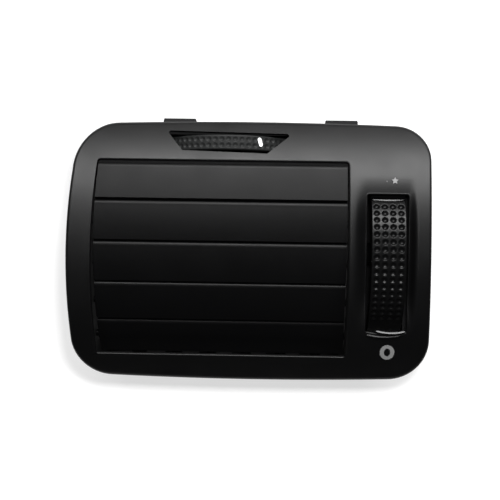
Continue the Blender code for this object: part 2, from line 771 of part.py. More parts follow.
def build_vane_link(mat):
    dx, dy = dial_crank()
    holes = [(vane_x(i) + dx, DIAL_Y + dy) for i in range(VANE_COUNT)] + [(DIAL_X + dx, DIAL_Y + dy)]
    low = VANE_LINK_Z - VANE_CRANK_T / 2
    high = VANE_LINK_Z + VANE_CRANK_T / 2
    link = prism("vane_link", capsule(holes[0], holes[VANE_COUNT - 1], LINK_W / 2 + 0.1), "Z", low, high, mat)
    for x, y in holes:
        cut(link, drill("Z", x, y, PIN_R + SHAFT_GAP, low - 1.0, high + 1.0))
    smooth(link)
    return set_pivot(link, (holes[0][0], holes[0][1], 0.0))


def clipped(outline, size):
    # Each corner of a flat outline is cut back by a short straight bevel
    points = []
    for i, corner in enumerate(outline):
        for other in (outline[i - 1], outline[(i + 1) % len(outline)]):
            length = math.hypot(other[0] - corner[0], other[1] - corner[1])
            t = size / length
            points.append((corner[0] + (other[0] - corner[0]) * t, corner[1] + (other[1] - corner[1]) * t))
    return points


def build_bezel(mat):
    marks = [spaced(6), spaced(10), spaced(6), spaced(12)]
    margin = [0.1, 0.2, 0.3, 0.4, 0.5, 0.6, 0.72, 0.86]
    bezel = bezel_shell(mat, marks, 5, margin)
    slot = clipped([SLOT_TOP[0], SLOT_TOP[1], SLOT_BOTTOM[1], SLOT_BOTTOM[0]], SLOT_CORNER)
    cut(bezel, prism("slot", slot, "Y", -SKIRT_BACK, SKIRT_BACK))
    r = WINDOW_CORNER
    window = corner_points(WINDOW_R - r, WINDOW_T - r, r, r, 0.0, 3)
    window += corner_points(WINDOW_L + r, WINDOW_T - r, r, r, 90.0, 3)
    window += corner_points(WINDOW_L + r, WINDOW_B + r, r, r, 180.0, 3)
    window += corner_points(WINDOW_R - r, WINDOW_B + r, r, r, 270.0, 3)
    cut(bezel, prism("window", window, "Y", -SKIRT_BACK, SKIRT_BACK))
    smooth(bezel, 38.0)
    return bezel


def arc_cutter(radius, front):
    # Everything in front of the arc that runs behind the bezel's face
    points = []
    for i in range(23):
        z = TAB_TOP * (i / 11 - 1.0) * 1.02
        points.append((FACE_R - math.sqrt(radius * radius - z * z), z))
    return points + [(front, points[-1][1]), (front, points[0][1])]


def frustum(name, near, far, low, high, mat=None):
    # Four-sided tube section along Y between two rectangles (x0, x1, z0, z1)
    verts = []
    for (x0, x1, z0, z1), y in ((near, low), (far, high)):
        verts += [(x0, y, z0), (x1, y, z0), (x1, y, z1), (x0, y, z1)]
    faces = [(0, 1, 2, 3), (7, 6, 5, 4), (0, 4, 5, 1), (1, 5, 6, 2), (2, 6, 7, 3), (3, 7, 4, 0)]
    return make(name, verts, faces, mat)


def grown(rect, amount):
    return (rect[0] - amount, rect[1] + amount, rect[2] - amount, rect[3] + amount)


def build_housing(mat):
    inner = (DUCT_L, OPEN_R, DUCT_BOTTOM, DUCT_TOP)
    narrow = grown(inner, -TAPER)
    housing = frustum("duct_housing", grown(inner, DUCT_WALL), grown(inner, DUCT_WALL), -2.0, TAPER_START, mat)
    join(housing, frustum("neck", grown(inner, DUCT_WALL - 0.01), grown(narrow, DUCT_WALL), TAPER_START - 1.0, NECK_END))
    join(housing, frustum("collar", grown(narrow, DUCT_WALL - 0.01), grown(narrow, DUCT_WALL - 0.01), NECK_END - 1.0, DUCT_BACK))
    flange = outline_loop(FLANGE_INSET, [spaced(5)] * 4, 5)
    join(housing, prism("flange", flange, "Y", FLANGE_Y, FLANGE_BACK))
    seat = prism("seat", outline_loop(FLANGE_INSET + 0.02, [spaced(3)] * 4, 4), "Y", FLANGE_BACK - 0.2, FLANGE_BACK + SEAT_H)
    hollow = outline_loop(FLANGE_INSET + SEAT_W, [spaced(3)] * 4, 4)
    cut(seat, prism("hollow", hollow, "Y", FLANGE_Y, FLANGE_BACK + 2 * SEAT_H))
    join(housing, seat)
    for x in TAB_X:
        corner = (x + TAB_W / 2, FLANGE_BACK - 0.1, TAB_TOP - 0.6)
        tab = box("tab", (x - TAB_W / 2, FLANGE_Y + 0.1, TAB_TOP - 7.0), corner)
        join(housing, tab)
        hook = [
            (FLANGE_Y + 0.3, TAB_TOP - 1.6),
            (FLANGE_Y + TAB_DEPTH, TAB_TOP - 1.6),
            (FLANGE_Y + TAB_DEPTH, TAB_TOP - 0.9),
            (FLANGE_Y + 3.0, TAB_TOP),
            (FLANGE_Y + 0.3, TAB_TOP),
        ]
        join(housing, prism("hook", hook, "X", x - TAB_W / 2 + 0.2, x + TAB_W / 2 - 0.2))
    ear_r = 3.0 * AXLE_R
    ear = [(FLANGE_Y + 0.5, -ear_r - 5.0), (WHEEL_Y, -ear_r), (WHEEL_Y + ear_r - 0.5, -ear_r / 2)]
    ear += [(WHEEL_Y + ear_r - 0.5, ear_r / 2), (WHEEL_Y, ear_r), (FLANGE_Y + 0.5, ear_r + 5.0)]
    join(housing, prism("ear", [(y, z + WHEEL_Z) for y, z in ear], "X", EAR_X, EAR_X + EAR_T))
    outer = OPEN_R + DUCT_WALL
    join(housing, rod("boss", "X", WHEEL_Y, WHEEL_Z, 4.4, outer - 0.4, GEAR_X - GEAR_T / 2 - 0.4, 18))
    top = DUCT_TOP + DUCT_WALL
    join(housing, rod("base", "Z", DIAL_X, DIAL_Y, WASHER_R, top - 0.4, top + 2.1, 18))
    join(housing, rod("post", "Z", DIAL_X, DIAL_Y, POST_R, top + 1.0, POST_TOP, HOLE_STEPS))
    for x in CLIP_X:
        join(housing, rod("stud", "Z", x, STUD_Y, STUD_R, DUCT_BOTTOM - DUCT_WALL - STUD_R, DUCT_BOTTOM - 0.6, 12))
    cut(housing, frustum("bore", inner, inner, -DUCT_WALL - 8.0, TAPER_START + 0.01))
    cut(housing, frustum("throat", inner, narrow, TAPER_START - 0.01, NECK_END + 0.01))
    cut(housing, frustum("mouth", narrow, narrow, NECK_END, DUCT_BACK + 10.0))
    cut(housing, prism("front", arc_cutter(FACE_R - WALL - 0.4, -SKIRT_BACK), "X", BEZEL_L - 10.0, BEZEL_R + 10.0))
    low = DUCT_BOTTOM - DUCT_WALL
    side = DUCT_L - DUCT_WALL
    chamfer = [(side - 1.1, low + 2.3), (side - 1.1, low - 2.0), (side + 3.9, low - 2.0)]
    cut(housing, prism("chamfer", chamfer, "Y", -SKIRT_BACK, FLANGE_Y - 0.1))
    near, far = FLANGE_Y - 3.0, FLANGE_BACK + 3.0
    bay = (GEAR_X - GEAR_T / 2 - 0.7, near, WHEEL_Z - WHEEL_R - 2.5)
    cut(housing, box("bay", bay, (EAR_X - 0.6, far, WHEEL_Z + WHEEL_R + 1.0)))
    shelf = DIAL_R + 5.0
    cut(housing, box("shelf", (DIAL_X - shelf, near, top), (DIAL_X + shelf, FLANGE_BACK + 1.5, DIAL_Z + DIAL_T / 2 + 0.7)))
    crank_low, crank_high = slat_pivot(SLAT_COUNT - 1)[1] - CRANK_LEN - 1.4, slat_pivot(0)[1] + PIN_R + 0.7
    cut(housing, box("side", (LINK_LOW - 1.3, near, crank_low), (side, far, crank_high)))
    for i in range(SLAT_COUNT):
        py, pz = slat_pivot(i)
        hole = SHAFT_R + SHAFT_GAP
        cut(housing, drill("X", py, pz, hole, side - DUCT_WALL, DUCT_L + DUCT_WALL))
        cut(housing, drill("X", py, pz, hole, OPEN_R - DUCT_WALL, outer + DUCT_WALL / 2))
    for i in range(VANE_COUNT):
        cut(housing, drill("Z", vane_x(i), DIAL_Y, SHAFT_R + SHAFT_GAP, DUCT_TOP - DUCT_WALL, top + DUCT_WALL))
        cut(housing, drill("Z", vane_x(i), DIAL_Y, SHAFT_R + SHAFT_GAP, low - DUCT_WALL, DUCT_BOTTOM + DUCT_WALL))
    cut(housing, drill("X", WHEEL_Y, WHEEL_Z, AXLE_R + 0.05, OPEN_R + 0.6, GEAR_X))
    cut(housing, drill("X", WHEEL_Y, WHEEL_Z, AXLE_R + 0.05, EAR_X - EAR_T, EAR_X + 2 * EAR_T))
    sill = [(SILL_Y - 6.0, DUCT_BOTTOM - 0.5)]
    for angle in (170.0, 130.0, 90.0, 50.0, 10.0):
        a = math.radians(angle)
        sill.append((SILL_Y + SILL_R * math.cos(a), SILL_TOP - SILL_R + SILL_R * math.sin(a)))
    sill.append((SILL_Y + SILL_R, DUCT_BOTTOM - 0.5))
    join(housing, prism("sill", sill, "X", DUCT_L - 0.5, OPEN_R + 0.5))
    rib_low, rib_high = OPEN_T - RIB_DROP, DUCT_TOP + 0.4
    rib = [(RIB_Y, rib_high), (RIB_Y, rib_low), (RIB_Y + RIB_T, rib_low), (RIB_Y + RIB_T, rib_high)]
    join(housing, prism("rib", rib, "X", DUCT_L - 0.5, OPEN_R + 0.5))
    smooth(housing)
    return housing


def print_depths(bezel, outline):
    # Depth of the bezel's surface under each point of a print's outline
    depsgraph = bpy.context.evaluated_depsgraph_get()
    tree = BVHTree.FromObject(bezel, depsgraph)
    front = []
    for x, z in outline:
        hit = tree.ray_cast(Vector((x * MM, -0.05, z * MM)), Vector((0.0, 1.0, 0.0)))
        front.append(hit[0].y / MM)
    return front


def build_ring_symbol(name, bezel, mat):
    steps = 24
    verts = []
    radii = ((RING_OUT[0], RING_OUT[1]), (RING_IN[0], RING_IN[1]))
    for rx, rz in radii:
        outline = [
            (RING_X + rx * math.cos(2 * math.pi * i / steps), RING_Z + rz * math.sin(2 * math.pi * i / steps))
            for i in range(steps)
        ]
        depth = print_depths(bezel, outline)
        for lift in (PRINT_GAP + PRINT_T, PRINT_GAP):
            verts += [(x, y - lift, z) for (x, z), y in zip(outline, depth)]
    faces = []
    for i in range(steps):
        j = (i + 1) % steps
        for a, b in ((0, 1), (1, 3), (3, 2), (2, 0)):
            faces.append((a * steps + i, a * steps + j, b * steps + j, b * steps + i))
    return smooth(make(name, verts, faces, mat), 50.0)


def build_open_symbol(name, bezel, mat):
    # Five-pointed star whose back follows the hollow's slope
    outline = []
    for i in range(10):
        a = math.pi / 2 + 2 * math.pi * i / 10
        r = STAR_R if i % 2 == 0 else STAR_R * 0.5
        outline.append((STAR_X + r * math.cos(a), STAR_Z + r * math.sin(a)))
    depth = print_depths(bezel, outline)
    base = min(depth)
    verts = [(x, base - PRINT_GAP - PRINT_T, z) for x, z in outline]
    verts += [(x, y - PRINT_GAP, z) for (x, z), y in zip(outline, depth)]
    count = len(outline)
    faces = [tuple(range(count))]
    centre = print_depths(bezel, [(STAR_X, STAR_Z)])[0]
    verts.append((STAR_X, centre - PRINT_GAP, STAR_Z))
    for i in range(count):
        j = (i + 1) % count
        faces.append((i, j, count + j, count + i))
        faces.append((count + i, count + j, 2 * count))
    return make(name, verts, faces, mat)


def build_clip(name, x, mat):
    # Bent spring strip under the duct: flat foot, ramp down and return lip
    top = DUCT_BOTTOM - DUCT_WALL - 0.3
    t = CLIP_T
    length = STUD_Y - CLIP_Y + 6.0
    upper = [(0.0, 0.0), (length, 0.0), (length, -t), (7.5, -t), (12.5, -t - 3.8), (17.0, -t - 1.8)]
    upper += [(17.4, -t - 2.5), (12.4, -t - 4.8), (4.6, -t), (0.0, -t)]
    outline = [(CLIP_Y + u, top + v) for u, v in upper]
    clip = prism(name, outline, "X", x - CLIP_W / 2, x + CLIP_W / 2, mat)
    cut(clip, drill("Z", x, STUD_Y, STUD_R + 0.15, top - t - 0.4, top + 1.0))
    return clip


def build_wheel_cover(mat):
    # Closed pocket behind the upright wheel, open to the flange and to the duct's side
    near = FLANGE_BACK + COVER_GAP
    left = OPEN_R + DUCT_WALL + COVER_GAP
    right = EAR_X + EAR_T + 3.4
    reach = WHEEL_R + 1.4
    bend = WHEEL_Y + 11.5
    outline = [(near, WHEEL_Z - reach), (near, WHEEL_Z + reach)]
    outline += corner_points(bend, WHEEL_Z + reach - COVER_CORNER, COVER_CORNER, COVER_CORNER, 0.0, 4)[::-1]
    outline += corner_points(bend, WHEEL_Z - reach + COVER_CORNER, COVER_CORNER, COVER_CORNER, 270.0, 4)[::-1]
    cover = prism("wheel_cover", shifted(outline, COVER_T, near), "X", left, right, mat)
    cut(cover, prism("inside", shifted(outline, 0.0, near - 5.0), "X", left - 5.0, right - COVER_T))
    return smooth(cover)


def shifted(outline, grow, near):
    # The pocket's side outline grown outward from its middle, with its open edge at a given depth
    points = []
    for y, z in outline:
        side = 1.0 if z > WHEEL_Z else -1.0
        if y <= outline[0][0]:
            points.append((near, z + grow * side))
        else:
            points.append((y + grow * 0.9, z + grow * side))
    return points


def build_dial_cover(mat):
    # Cap over the level wheel and its link, open to the front
    near = FLANGE_BACK + COVER_GAP
    far = TAPER_START - DUCT_WALL
    left = vane_x(0) - VANE_CRANK - 0.3
    right = vane_x(VANE_COUNT - 1) + VANE_CRANK + 0.3
    low = DUCT_TOP + DUCT_WALL + COVER_GAP
    high = POST_TOP + 0.25
    cover = box("dial_cover", (left - COVER_T, near, low), (right + COVER_T, far, high + COVER_T), mat)
    cut(cover, box("inside", (left, near - 5.0, low - 5.0), (right, far - COVER_T, high)))
    return cover


def build_seal(mat):
    inner = grown((DUCT_L, OPEN_R, DUCT_BOTTOM, DUCT_TOP), DUCT_WALL - TAPER + 0.25)
    start = (NECK_END + DUCT_BACK - SEAL_W) / 2
    seal = frustum("duct_seal", grown(inner, SEAL_T), grown(inner, SEAL_T), start, start + SEAL_W, mat)
    cut(seal, frustum("inner", inner, inner, start - SEAL_W, start + 2 * SEAL_W))
    return seal


def centre_all():
    # The frame's origin is the centre of the whole assembly's bounding box
    bpy.context.view_layer.update()
    meshes = [o for o in bpy.data.objects if o.type == "MESH"]
    points = [o.matrix_world @ v.co for o in meshes for v in o.data.vertices]
    low = Vector([min(p[i] for p in points) for i in range(3)])
    high = Vector([max(p[i] for p in points) for i in range(3)])
    for o in meshes:
        o.location -= (low + high) / 2


def main():
    clear_scene()
    black = material("satin_black", (0.018, 0.018, 0.019), 0.42)
    slat_mat = material("slat_black", (0.016, 0.016, 0.017), 0.46)
    inner = material("housing_black", (0.03, 0.03, 0.032), 0.6)
    soft = material("grip_black", (0.02, 0.02, 0.021), 0.38)
    grey = material("link_grey", (0.12, 0.12, 0.125), 0.55)
    natural = material("gear_white", (0.62, 0.61, 0.56), 0.5)
    steel = material("steel", (0.55, 0.56, 0.58), 0.32, 1.0)
    white = material("mark_white", (0.85, 0.85, 0.85), 0.5)
    pale = material("print_grey", (0.5, 0.5, 0.5), 0.6)
    foam = material("foam", (0.05, 0.05, 0.052), 0.95)
    felt = material("felt", (0.16, 0.15, 0.14), 0.95)
    bezel = build_bezel(black)
    build_housing(inner)
    for i in range(SLAT_COUNT):
        build_slat(i, slat_mat)
    build_slat_link(grey)
    build_pinion(natural)
    build_slat_wheel(soft)
    rod("slat_wheel_axle", "X", WHEEL_Y, WHEEL_Z, AXLE_R, OPEN_R + 0.8, EAR_X + 3.6, 16, steel)
    ring("slat_wheel_clip", "X", WHEEL_Y, WHEEL_Z, AXLE_R + 0.08, 4.0, EAR_X + 2.3, EAR_X + 3.1, 18, steel)
    for i in range(VANE_COUNT):
        build_vane(i, inner)
    build_vane_link(grey)
    build_vane_wheel(soft)
    mark_block("index_mark", 0.0, white)
    ring("vane_wheel_clip", "Z", DIAL_X, DIAL_Y, POST_R + 0.08, 4.4, POST_TOP - 1.1, POST_TOP - 0.4, 18, steel)
    base = DUCT_TOP + DUCT_WALL + 2.1
    ring("friction_washer", "Z", DIAL_X, DIAL_Y, POST_R + 0.2, WASHER_R, base + 0.1, DIAL_Z - DIAL_T / 2 - 0.2, 18, felt)
    build_clip("clip_left", CLIP_X[0], steel)
    build_clip("clip_right", CLIP_X[1], steel)
    build_seal(foam)
    build_wheel_cover(inner)
    build_dial_cover(inner)
    build_ring_symbol("closed_symbol", bezel, pale)
    build_open_symbol("open_symbol", bezel, white)
    centre_all()


main()
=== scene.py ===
"""Dressed model of a dashboard air vent, laid out as an add-on and run as a script."""
import math

import bmesh
import bpy
from mathutils import Matrix, Vector


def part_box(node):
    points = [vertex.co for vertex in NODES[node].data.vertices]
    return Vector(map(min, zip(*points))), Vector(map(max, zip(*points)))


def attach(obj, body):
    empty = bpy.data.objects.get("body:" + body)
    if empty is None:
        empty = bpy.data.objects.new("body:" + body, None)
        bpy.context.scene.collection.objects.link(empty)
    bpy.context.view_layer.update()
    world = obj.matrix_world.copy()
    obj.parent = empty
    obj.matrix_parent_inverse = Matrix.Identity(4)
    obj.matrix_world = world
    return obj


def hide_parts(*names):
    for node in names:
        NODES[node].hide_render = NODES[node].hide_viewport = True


bl_info = {
    "name": "Dashboard air vent",
    "version": (1, 0, 0),
    "blender": (4, 5, 0),
    "location": "3D View > Sidebar > Air vent",
    "description": "Builds the dressed air vent over its packed frame",
    "category": "Object",
}

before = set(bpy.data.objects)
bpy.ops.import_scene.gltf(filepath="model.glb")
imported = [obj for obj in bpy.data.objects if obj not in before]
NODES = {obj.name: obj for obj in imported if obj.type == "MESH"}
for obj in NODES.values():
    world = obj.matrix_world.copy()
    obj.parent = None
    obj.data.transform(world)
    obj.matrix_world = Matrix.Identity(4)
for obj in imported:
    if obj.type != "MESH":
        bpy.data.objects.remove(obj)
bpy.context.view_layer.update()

MM = 0.001
MERGE = 1e-6
BEZEL_LOW, BEZEL_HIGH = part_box("bezel")

# The face's own axes have their zero at the foremost point of the bezel's arc
FACE_LEFT = -85.0
SKIRT_BACK = 23.96375
FACE_BOTTOM = -61.3
ORIGIN = Vector((
    BEZEL_LOW[0] - FACE_LEFT * MM,
    BEZEL_HIGH[1] - SKIRT_BACK * MM,
    BEZEL_LOW[2] - FACE_BOTTOM * MM,
))

# From here values are in millimetres and degrees, unless a comment says otherwise
# Bezel: rectangles are left, right, low and high, and bows and corners start at the top and go left
BEZEL_RECT = (-83.5, 83.6, -60.1, 59.9)
BEZEL_BOWS = (1.1, 1.5, 1.2, -0.6)
BEZEL_CORNERS = ((16.3, 16.5), (20.5, 23.7), (19.0, 19.0), (18.5, 18.7))
FACE_R = 110.0
WALL = 2.0
EDGE_R = 1.4
SKIRT_WALL = 2.0
INNER_EDGE = 1.2
OPENING_RECT = (-71.8, 44.9, -49.0, 41.1)
OPENING_BOWS = (0.0, 1.5, 0.0, 0.0)
OPENING_CORNER = 1.3
OPENING_EDGE_R = 1.2
OPENING_INNER = 1.5
OPENING_LEFT_SHARE = 0.45

# Points along the bezel's sides and corners, and rings across its outer and inner face
SIDE_POINTS = (46, 60, 46, 78)
CORNER_STEPS = 14
FACE_RINGS = 44
INNER_RINGS = 16

# Scoop and window of the upright wheel, and slot of the level one
SCOOP_X = (54.6, 72.8)
SCOOP_BLEND = (7.4, 3.8)
SCOOP_Z = (-38.3, 36.0)
SCOOP_FOOT = 20.0
SCOOP_FADE = 30.0
SCOOP_DEPTH = 4.2
WINDOW = (53.4, 73.0, -37.2, 26.7)
WINDOW_BOWS = (0.0, 0.0, 0.8, 0.0)
WINDOW_CORNERS = ((1.1, 1.1),) * 4
WINDOW_POINTS = (2, 2, 9, 2)
LIP_POINTS = (14, 50, 14, 50)
SLOT = ((17.3, 54.5), (-39.8, 55.9), (-34.5, 43.9), (8.0, 43.5))
SLOT_CORNERS = (0.5, 0.9, 3.4, 2.6)
CUT_FROM = -30.0
CUT_LENGTH = 90.0

# Slats, each on its place of one arc that starts at SLAT_FIRST, in radians
# Points of a section are pairs of a height over the pivot and a depth in front of it
SLAT_COUNT = 5
SLAT_ARC_R = 95.7
SLAT_ARC_Z = 11.7
SLAT_RECESS = 3.5
SLAT_PITCH = 19.43
SLAT_FIRST = 0.313
SLAT_FACE_R = (250.0, 70.0, 70.0, 70.0, 70.0)
SLAT_HIGH = (8.5, 9.8, 9.8, 9.8, 9.8)
SLAT_LOW = -8.4
SLAT_CREST = 3.2
SLAT_THICK = 2.3
SLAT_NOSE = 2.1
SLAT_NOSE_R = 1.15
SLAT_BACK = (4.0, 0.0, -3.6, -6.6)
SLAT_LAP = ((-8.5, -1.75), (-11.6, -2.05), (-11.7, -1.3), (-9.1, -0.8))
SLAT_STEPS = 22
SLAT_X = (-72.1, 44.5)
SLAT_GAP = 0.45
BOSS_R = 2.5
BOSS_LENGTH = 2.5
BOSS_INSET = 0.01
SHAFT_R = 1.5
SHAFT_SUNK = 1.6
SHAFT_RIGHT = 47.1
GEAR_SLAT = 2
GEAR_RIGHT = 51.9
CRANK_R = 1.85
CRANK_LEN = 7.0
CRANK_X = (-77.0, -75.4)
CRANK_SUNK = 0.6
CRANK_PIN_R = 1.2
PIN_OFFSET = 0.5
LINK_X = (-79.2, -77.4)

# Upright wheel, with its rows of dimples counted down from the top angle
WHEEL = {"radius": 42.0, "y": 41.2, "z": -0.5, "x": 63.6, "width": 16.0}
WHEEL_ROWS = {"count": 17, "pitch": 3.52, "top": 33.3, "ends": (-104.0, 47.0), "cells": (4, 3.75)}
WHEEL_WEB = 2.0
RIB = {"z": 24.6, "sag": 0.5, "span": 7.4, "lift": 0.5, "half": 0.95, "lean": 21.0, "thick": 0.14}

# Lines under the upright wheel: name, offset, height over the sill, half length, half height, finish
SILL_LINES = (("sill_line", 1.7, 0.7, 6.6, 0.8, "gloss"), ("lower_line", -1.4, -1.1, 7.8, 0.5, "face"))
SILL = {"sag": 0.9, "lift": 0.3, "lean": 26.0, "thick": 0.12}

# Level wheel, whose rim lies inside the frame's own, with the margin of its rows in radians
DIAL ={"radius": 33.4, "x": -11.4, "y": 43.0, "z": 50.35, "height": 6.7, "rest": 25.0}
DIAL_ROWS = {"pitch": 3.4, "reach": 86.0, "margin": 0.05, "cells": (2, 2.85), "depth": 0.8}
DIAL_FRAME_R = 36.0
DIAL_WEB = 1.2
INDEX = {"angle": 26.8, "low": (0.4, 49.65), "high": (-0.3, 51.9), "radius": 0.95}
INDEX_PROUD = 0.12
INDEX_THICK = 1.5

# Grips of both wheels, with a dimple's reach as a share of its cell and the coarse angles in radians
RIM = 5.0
RIM_EDGE = 0.5
EDGE_STATIONS = (0.0, 0.12, 0.3, 0.5)
DIMPLE_STEPS = 14
DIMPLE_REACH = 0.38
COARSE_STEP = 0.07
COARSE_GAP = 0.03

# Printed marks
RING_CENTRE = (64.3, -46.6)
RING_OUTER = (3.4, 3.5)
RING_INNER = (1.45, 1.9)
RING_STEPS = 64
PRINT_LIFT = (0.06, 0.16)
STAR_DOT = (62.6, 32.6)
STAR_DOT_R = 0.4
STAR_DOT_SUNK = 0.1

# Lamps in metres and watts: name, azimuth, elevation, distance, size, power, seen itself or not
LAMPS = (
    ("softbox", 9.0, 46.0, 0.9, (0.9, 0.24), 9.0, True),
    ("strip", -8.0, 18.0, 0.9, (0.07, 0.5), 0.5, True),
    ("shadow_lamp", 4.6, 4.4, 0.45, (0.045, 0.03), 3.3, False),
)

# Backdrop, with its half size in metres and its glow to each kind of ray, and the world's faint light
BACKDROP_Y = 86.0
BACKDROP_HALF = 2.5
BACKDROP_GREY = 0.36
BACKDROP_GLOW = (("Is Camera Ray", 0.67), ("Is Glossy Ray", 0.15), ("Is Transmission Ray", 0.15))
WORLD_FILL = 0.02


def spot(x, y, z):
    """A point given in millimetres on the face's own axes, in the row frame."""
    return ORIGIN + Vector((x, y, z)) * MM


def face_depth(z):
    """How far the bezel's arc lies behind its foremost line at a height."""
    return FACE_R - math.sqrt(FACE_R * FACE_R - z * z)


def ease(t):
    """Smooth step from 0 to 1."""
    t = min(1.0, max(0.0, t))
    return t * t * (3.0 - 2.0 * t)


def scoop(x, z):
    """Depth of the hollow round the upright wheel."""
    left = ease((x - SCOOP_X[0] + SCOOP_BLEND[0]) / SCOOP_BLEND[0])
    right = ease((SCOOP_X[1] + SCOOP_BLEND[1] - x) / SCOOP_BLEND[1])
    upper = ease((SCOOP_Z[1] - z) / SCOOP_FADE)
    lower = ease((z - SCOOP_Z[0]) / SCOOP_FOOT)
    return SCOOP_DEPTH * left * right * upper * lower


def front_depth(x, z):
    """Depth of the bezel's face, hollow included."""
    return face_depth(z) + scoop(x, z)


def corner(centre, radii, start, steps):
    """Quarter of an ellipse from an angle in degrees."""
    points = []
    for i in range(steps + 1):
        a = math.radians(start + 90.0 * i / steps)
        points.append((centre[0] + radii[0] * math.cos(a), centre[1] + radii[1] * math.sin(a)))
    return points


def rounded_loop(rect, corners, bows, inset, counts, steps):
    """Closed outline with four corner radii and bowed sides, from the right end of the top right corner."""
    left, right, low, high = rect[0] + inset, rect[1] - inset, rect[2] + inset, rect[3] - inset
    tr, tl, bl, br = [(rx - inset, rz - inset) for rx, rz in corners]
    arcs = [
        corner((right - tr[0], high - tr[1]), tr, 0.0, steps),
        corner((left + tl[0], high - tl[1]), tl, 90.0, steps),
        corner((left + bl[0], low + bl[1]), bl, 180.0, steps),
        corner((right - br[0], low + br[1]), br, 270.0, steps),
    ]
    outward = ((0.0, 1.0), (-1.0, 0.0), (0.0, -1.0), (1.0, 0.0))
    points = []
    for k, (out_x, out_z) in enumerate(outward):
        a, b = arcs[k][-1], arcs[(k + 1) % 4][0]
        points += arcs[k]
        for i in range(1, counts[k] + 1):
            t = i / (counts[k] + 1)
            lift = bows[k] * 4.0 * t * (1.0 - t)
            x, z = a[0] + (b[0] - a[0]) * t, a[1] + (b[1] - a[1]) * t
            points.append((x + out_x * lift, z + out_z * lift))
    return points


def filleted(points, radii, steps=6):
    """Flat outline with each corner rounded by its own radius."""
    result = []
    for i, (x, z) in enumerate(points):
        here = Vector((x, z))
        before, after = Vector(points[i - 1]), Vector(points[(i + 1) % len(points)])
        a, b = (before - here).normalized(), (after - here).normalized()
        half = a.angle(b) / 2.0
        reach = radii[i] / math.tan(half)
        centre = here + (a + b).normalized() * (radii[i] / math.sin(half))
        start, end = here + a * reach - centre, here + b * reach - centre
        for k in range(steps + 1):
            way = start.slerp(end, k / steps)
            result.append((centre.x + way.x, centre.y + way.y))
    return result


def smooth_shaded(mesh, angle=40.0):
    """Smooth shading with sharp edges over an angle in degrees."""
    mesh.shade_smooth()
    mesh.set_sharp_from_angle(angle=math.radians(angle))


def as_object(name, bm, material, angle):
    """A bmesh as a smooth shaded object at the origin."""
    mesh = bpy.data.meshes.new(name)
    bm.to_mesh(mesh)
    bm.free()
    smooth_shaded(mesh, angle)
    piece = bpy.data.objects.new(name, mesh)
    bpy.context.scene.collection.objects.link(piece)
    if material is not None:
        mesh.materials.append(material)
    return piece


def new_piece(name, bm, material, angle=40.0):
    """A closed bmesh as an object, with its doubles merged and its faces turned outward."""
    bmesh.ops.remove_doubles(bm, verts=bm.verts, dist=MERGE)
    bmesh.ops.recalc_face_normals(bm, faces=bm.faces)
    return as_object(name, bm, material, angle)


def add_ring(bm, points):
    """Closed ring of vertices in the row frame, joined by edges."""
    verts = [bm.verts.new(p) for p in points]
    return [bm.edges.new((a, b)) for a, b in zip(verts, verts[1:] + verts[:1])]


def bridge_rings(bm, rings, closed=False):
    """Bridges neighbouring rings of edges, and the last to the first if closed."""
    pairs = list(zip(rings, rings[1:]))
    if closed:
        pairs.append((rings[-1], rings[0]))
    for a, b in pairs:
        bmesh.ops.bridge_loops(bm, edges=a + b)


def extruded(bm, points, move):
    """Flat outline extruded by a vector into a closed solid."""
    verts = [bm.verts.new(p) for p in points]
    face = bm.faces.new(verts)
    top = bmesh.ops.extrude_face_region(bm, geom=[face])
    moved = [g for g in top["geom"] if isinstance(g, bmesh.types.BMVert)]
    bmesh.ops.translate(bm, vec=move, verts=moved)


def boolean_cut(piece, outline):
    """Cuts a window with a straight prism along Y through a piece."""
    bm = bmesh.new()
    extruded(bm, [spot(x, CUT_FROM, z) for x, z in outline], Vector((0.0, CUT_LENGTH * MM, 0.0)))
    tool = new_piece("window_tool", bm, None)
    mod = piece.modifiers.new("Window", "BOOLEAN")
    mod.operation = "DIFFERENCE"
    mod.solver = "EXACT"
    mod.object = tool
    bpy.context.view_layer.update()
    mesh = bpy.data.meshes.new_from_object(piece.evaluated_get(bpy.context.evaluated_depsgraph_get()))
    piece.modifiers.clear()
    old = piece.data
    if len(mesh.vertices) < len(old.vertices) // 2:
        raise RuntimeError("the window was not cut cleanly from " + piece.name)
    piece.data = mesh
    bpy.data.meshes.remove(old)
    bpy.data.objects.remove(tool, do_unlink=True)


def bead(bm, path, radius, steps=10):
    """Round bead along a closed path of points in the row frame that runs across Y."""
    rings = []
    for i, p in enumerate(path):
        along = (path[(i + 1) % len(path)] - path[i - 1]).normalized()
        side = along.cross(Vector((0.0, 1.0, 0.0))).normalized()
        up = side.cross(along).normalized()
        ring = []
        for k in range(steps):
            a = 2.0 * math.pi * k / steps
            ring.append(p + (side * math.cos(a) + up * math.sin(a)) * radius)
        rings.append(add_ring(bm, ring))
    bridge_rings(bm, rings, closed=True)


def beam(bm, path, half, lean, thick, steps=12):
    """Lens shaped strip across the vent whose broad side faces forward and up."""
    a = math.radians(lean)
    rings = []
    for i, p in enumerate(path):
        size = 1.0 if 0 < i < len(path) - 1 else 0.45
        ring = []
        for k in range(steps):
            t = 2.0 * math.pi * k / steps
            up, out = half * size * math.sin(t), thick * size * math.cos(t)
            y, z = up * math.sin(a) - out * math.cos(a), up * math.cos(a) + out * math.sin(a)
            ring.append(p + Vector((0.0, y, z)) * MM)
        rings.append(add_ring(bm, ring))
    bridge_rings(bm, rings)
    bmesh.ops.holes_fill(bm, edges=rings[0] + rings[-1], sides=steps)


def sagging(span, height, sag, count=17):
    """Pairs of a distance to either side and a height, along a line that sags in its middle."""
    pairs = []
    for k in range(count):
        t = 2.0 * k / (count - 1) - 1.0
        pairs.append((span * t, height - sag * (1.0 - t * t)))
    return pairs


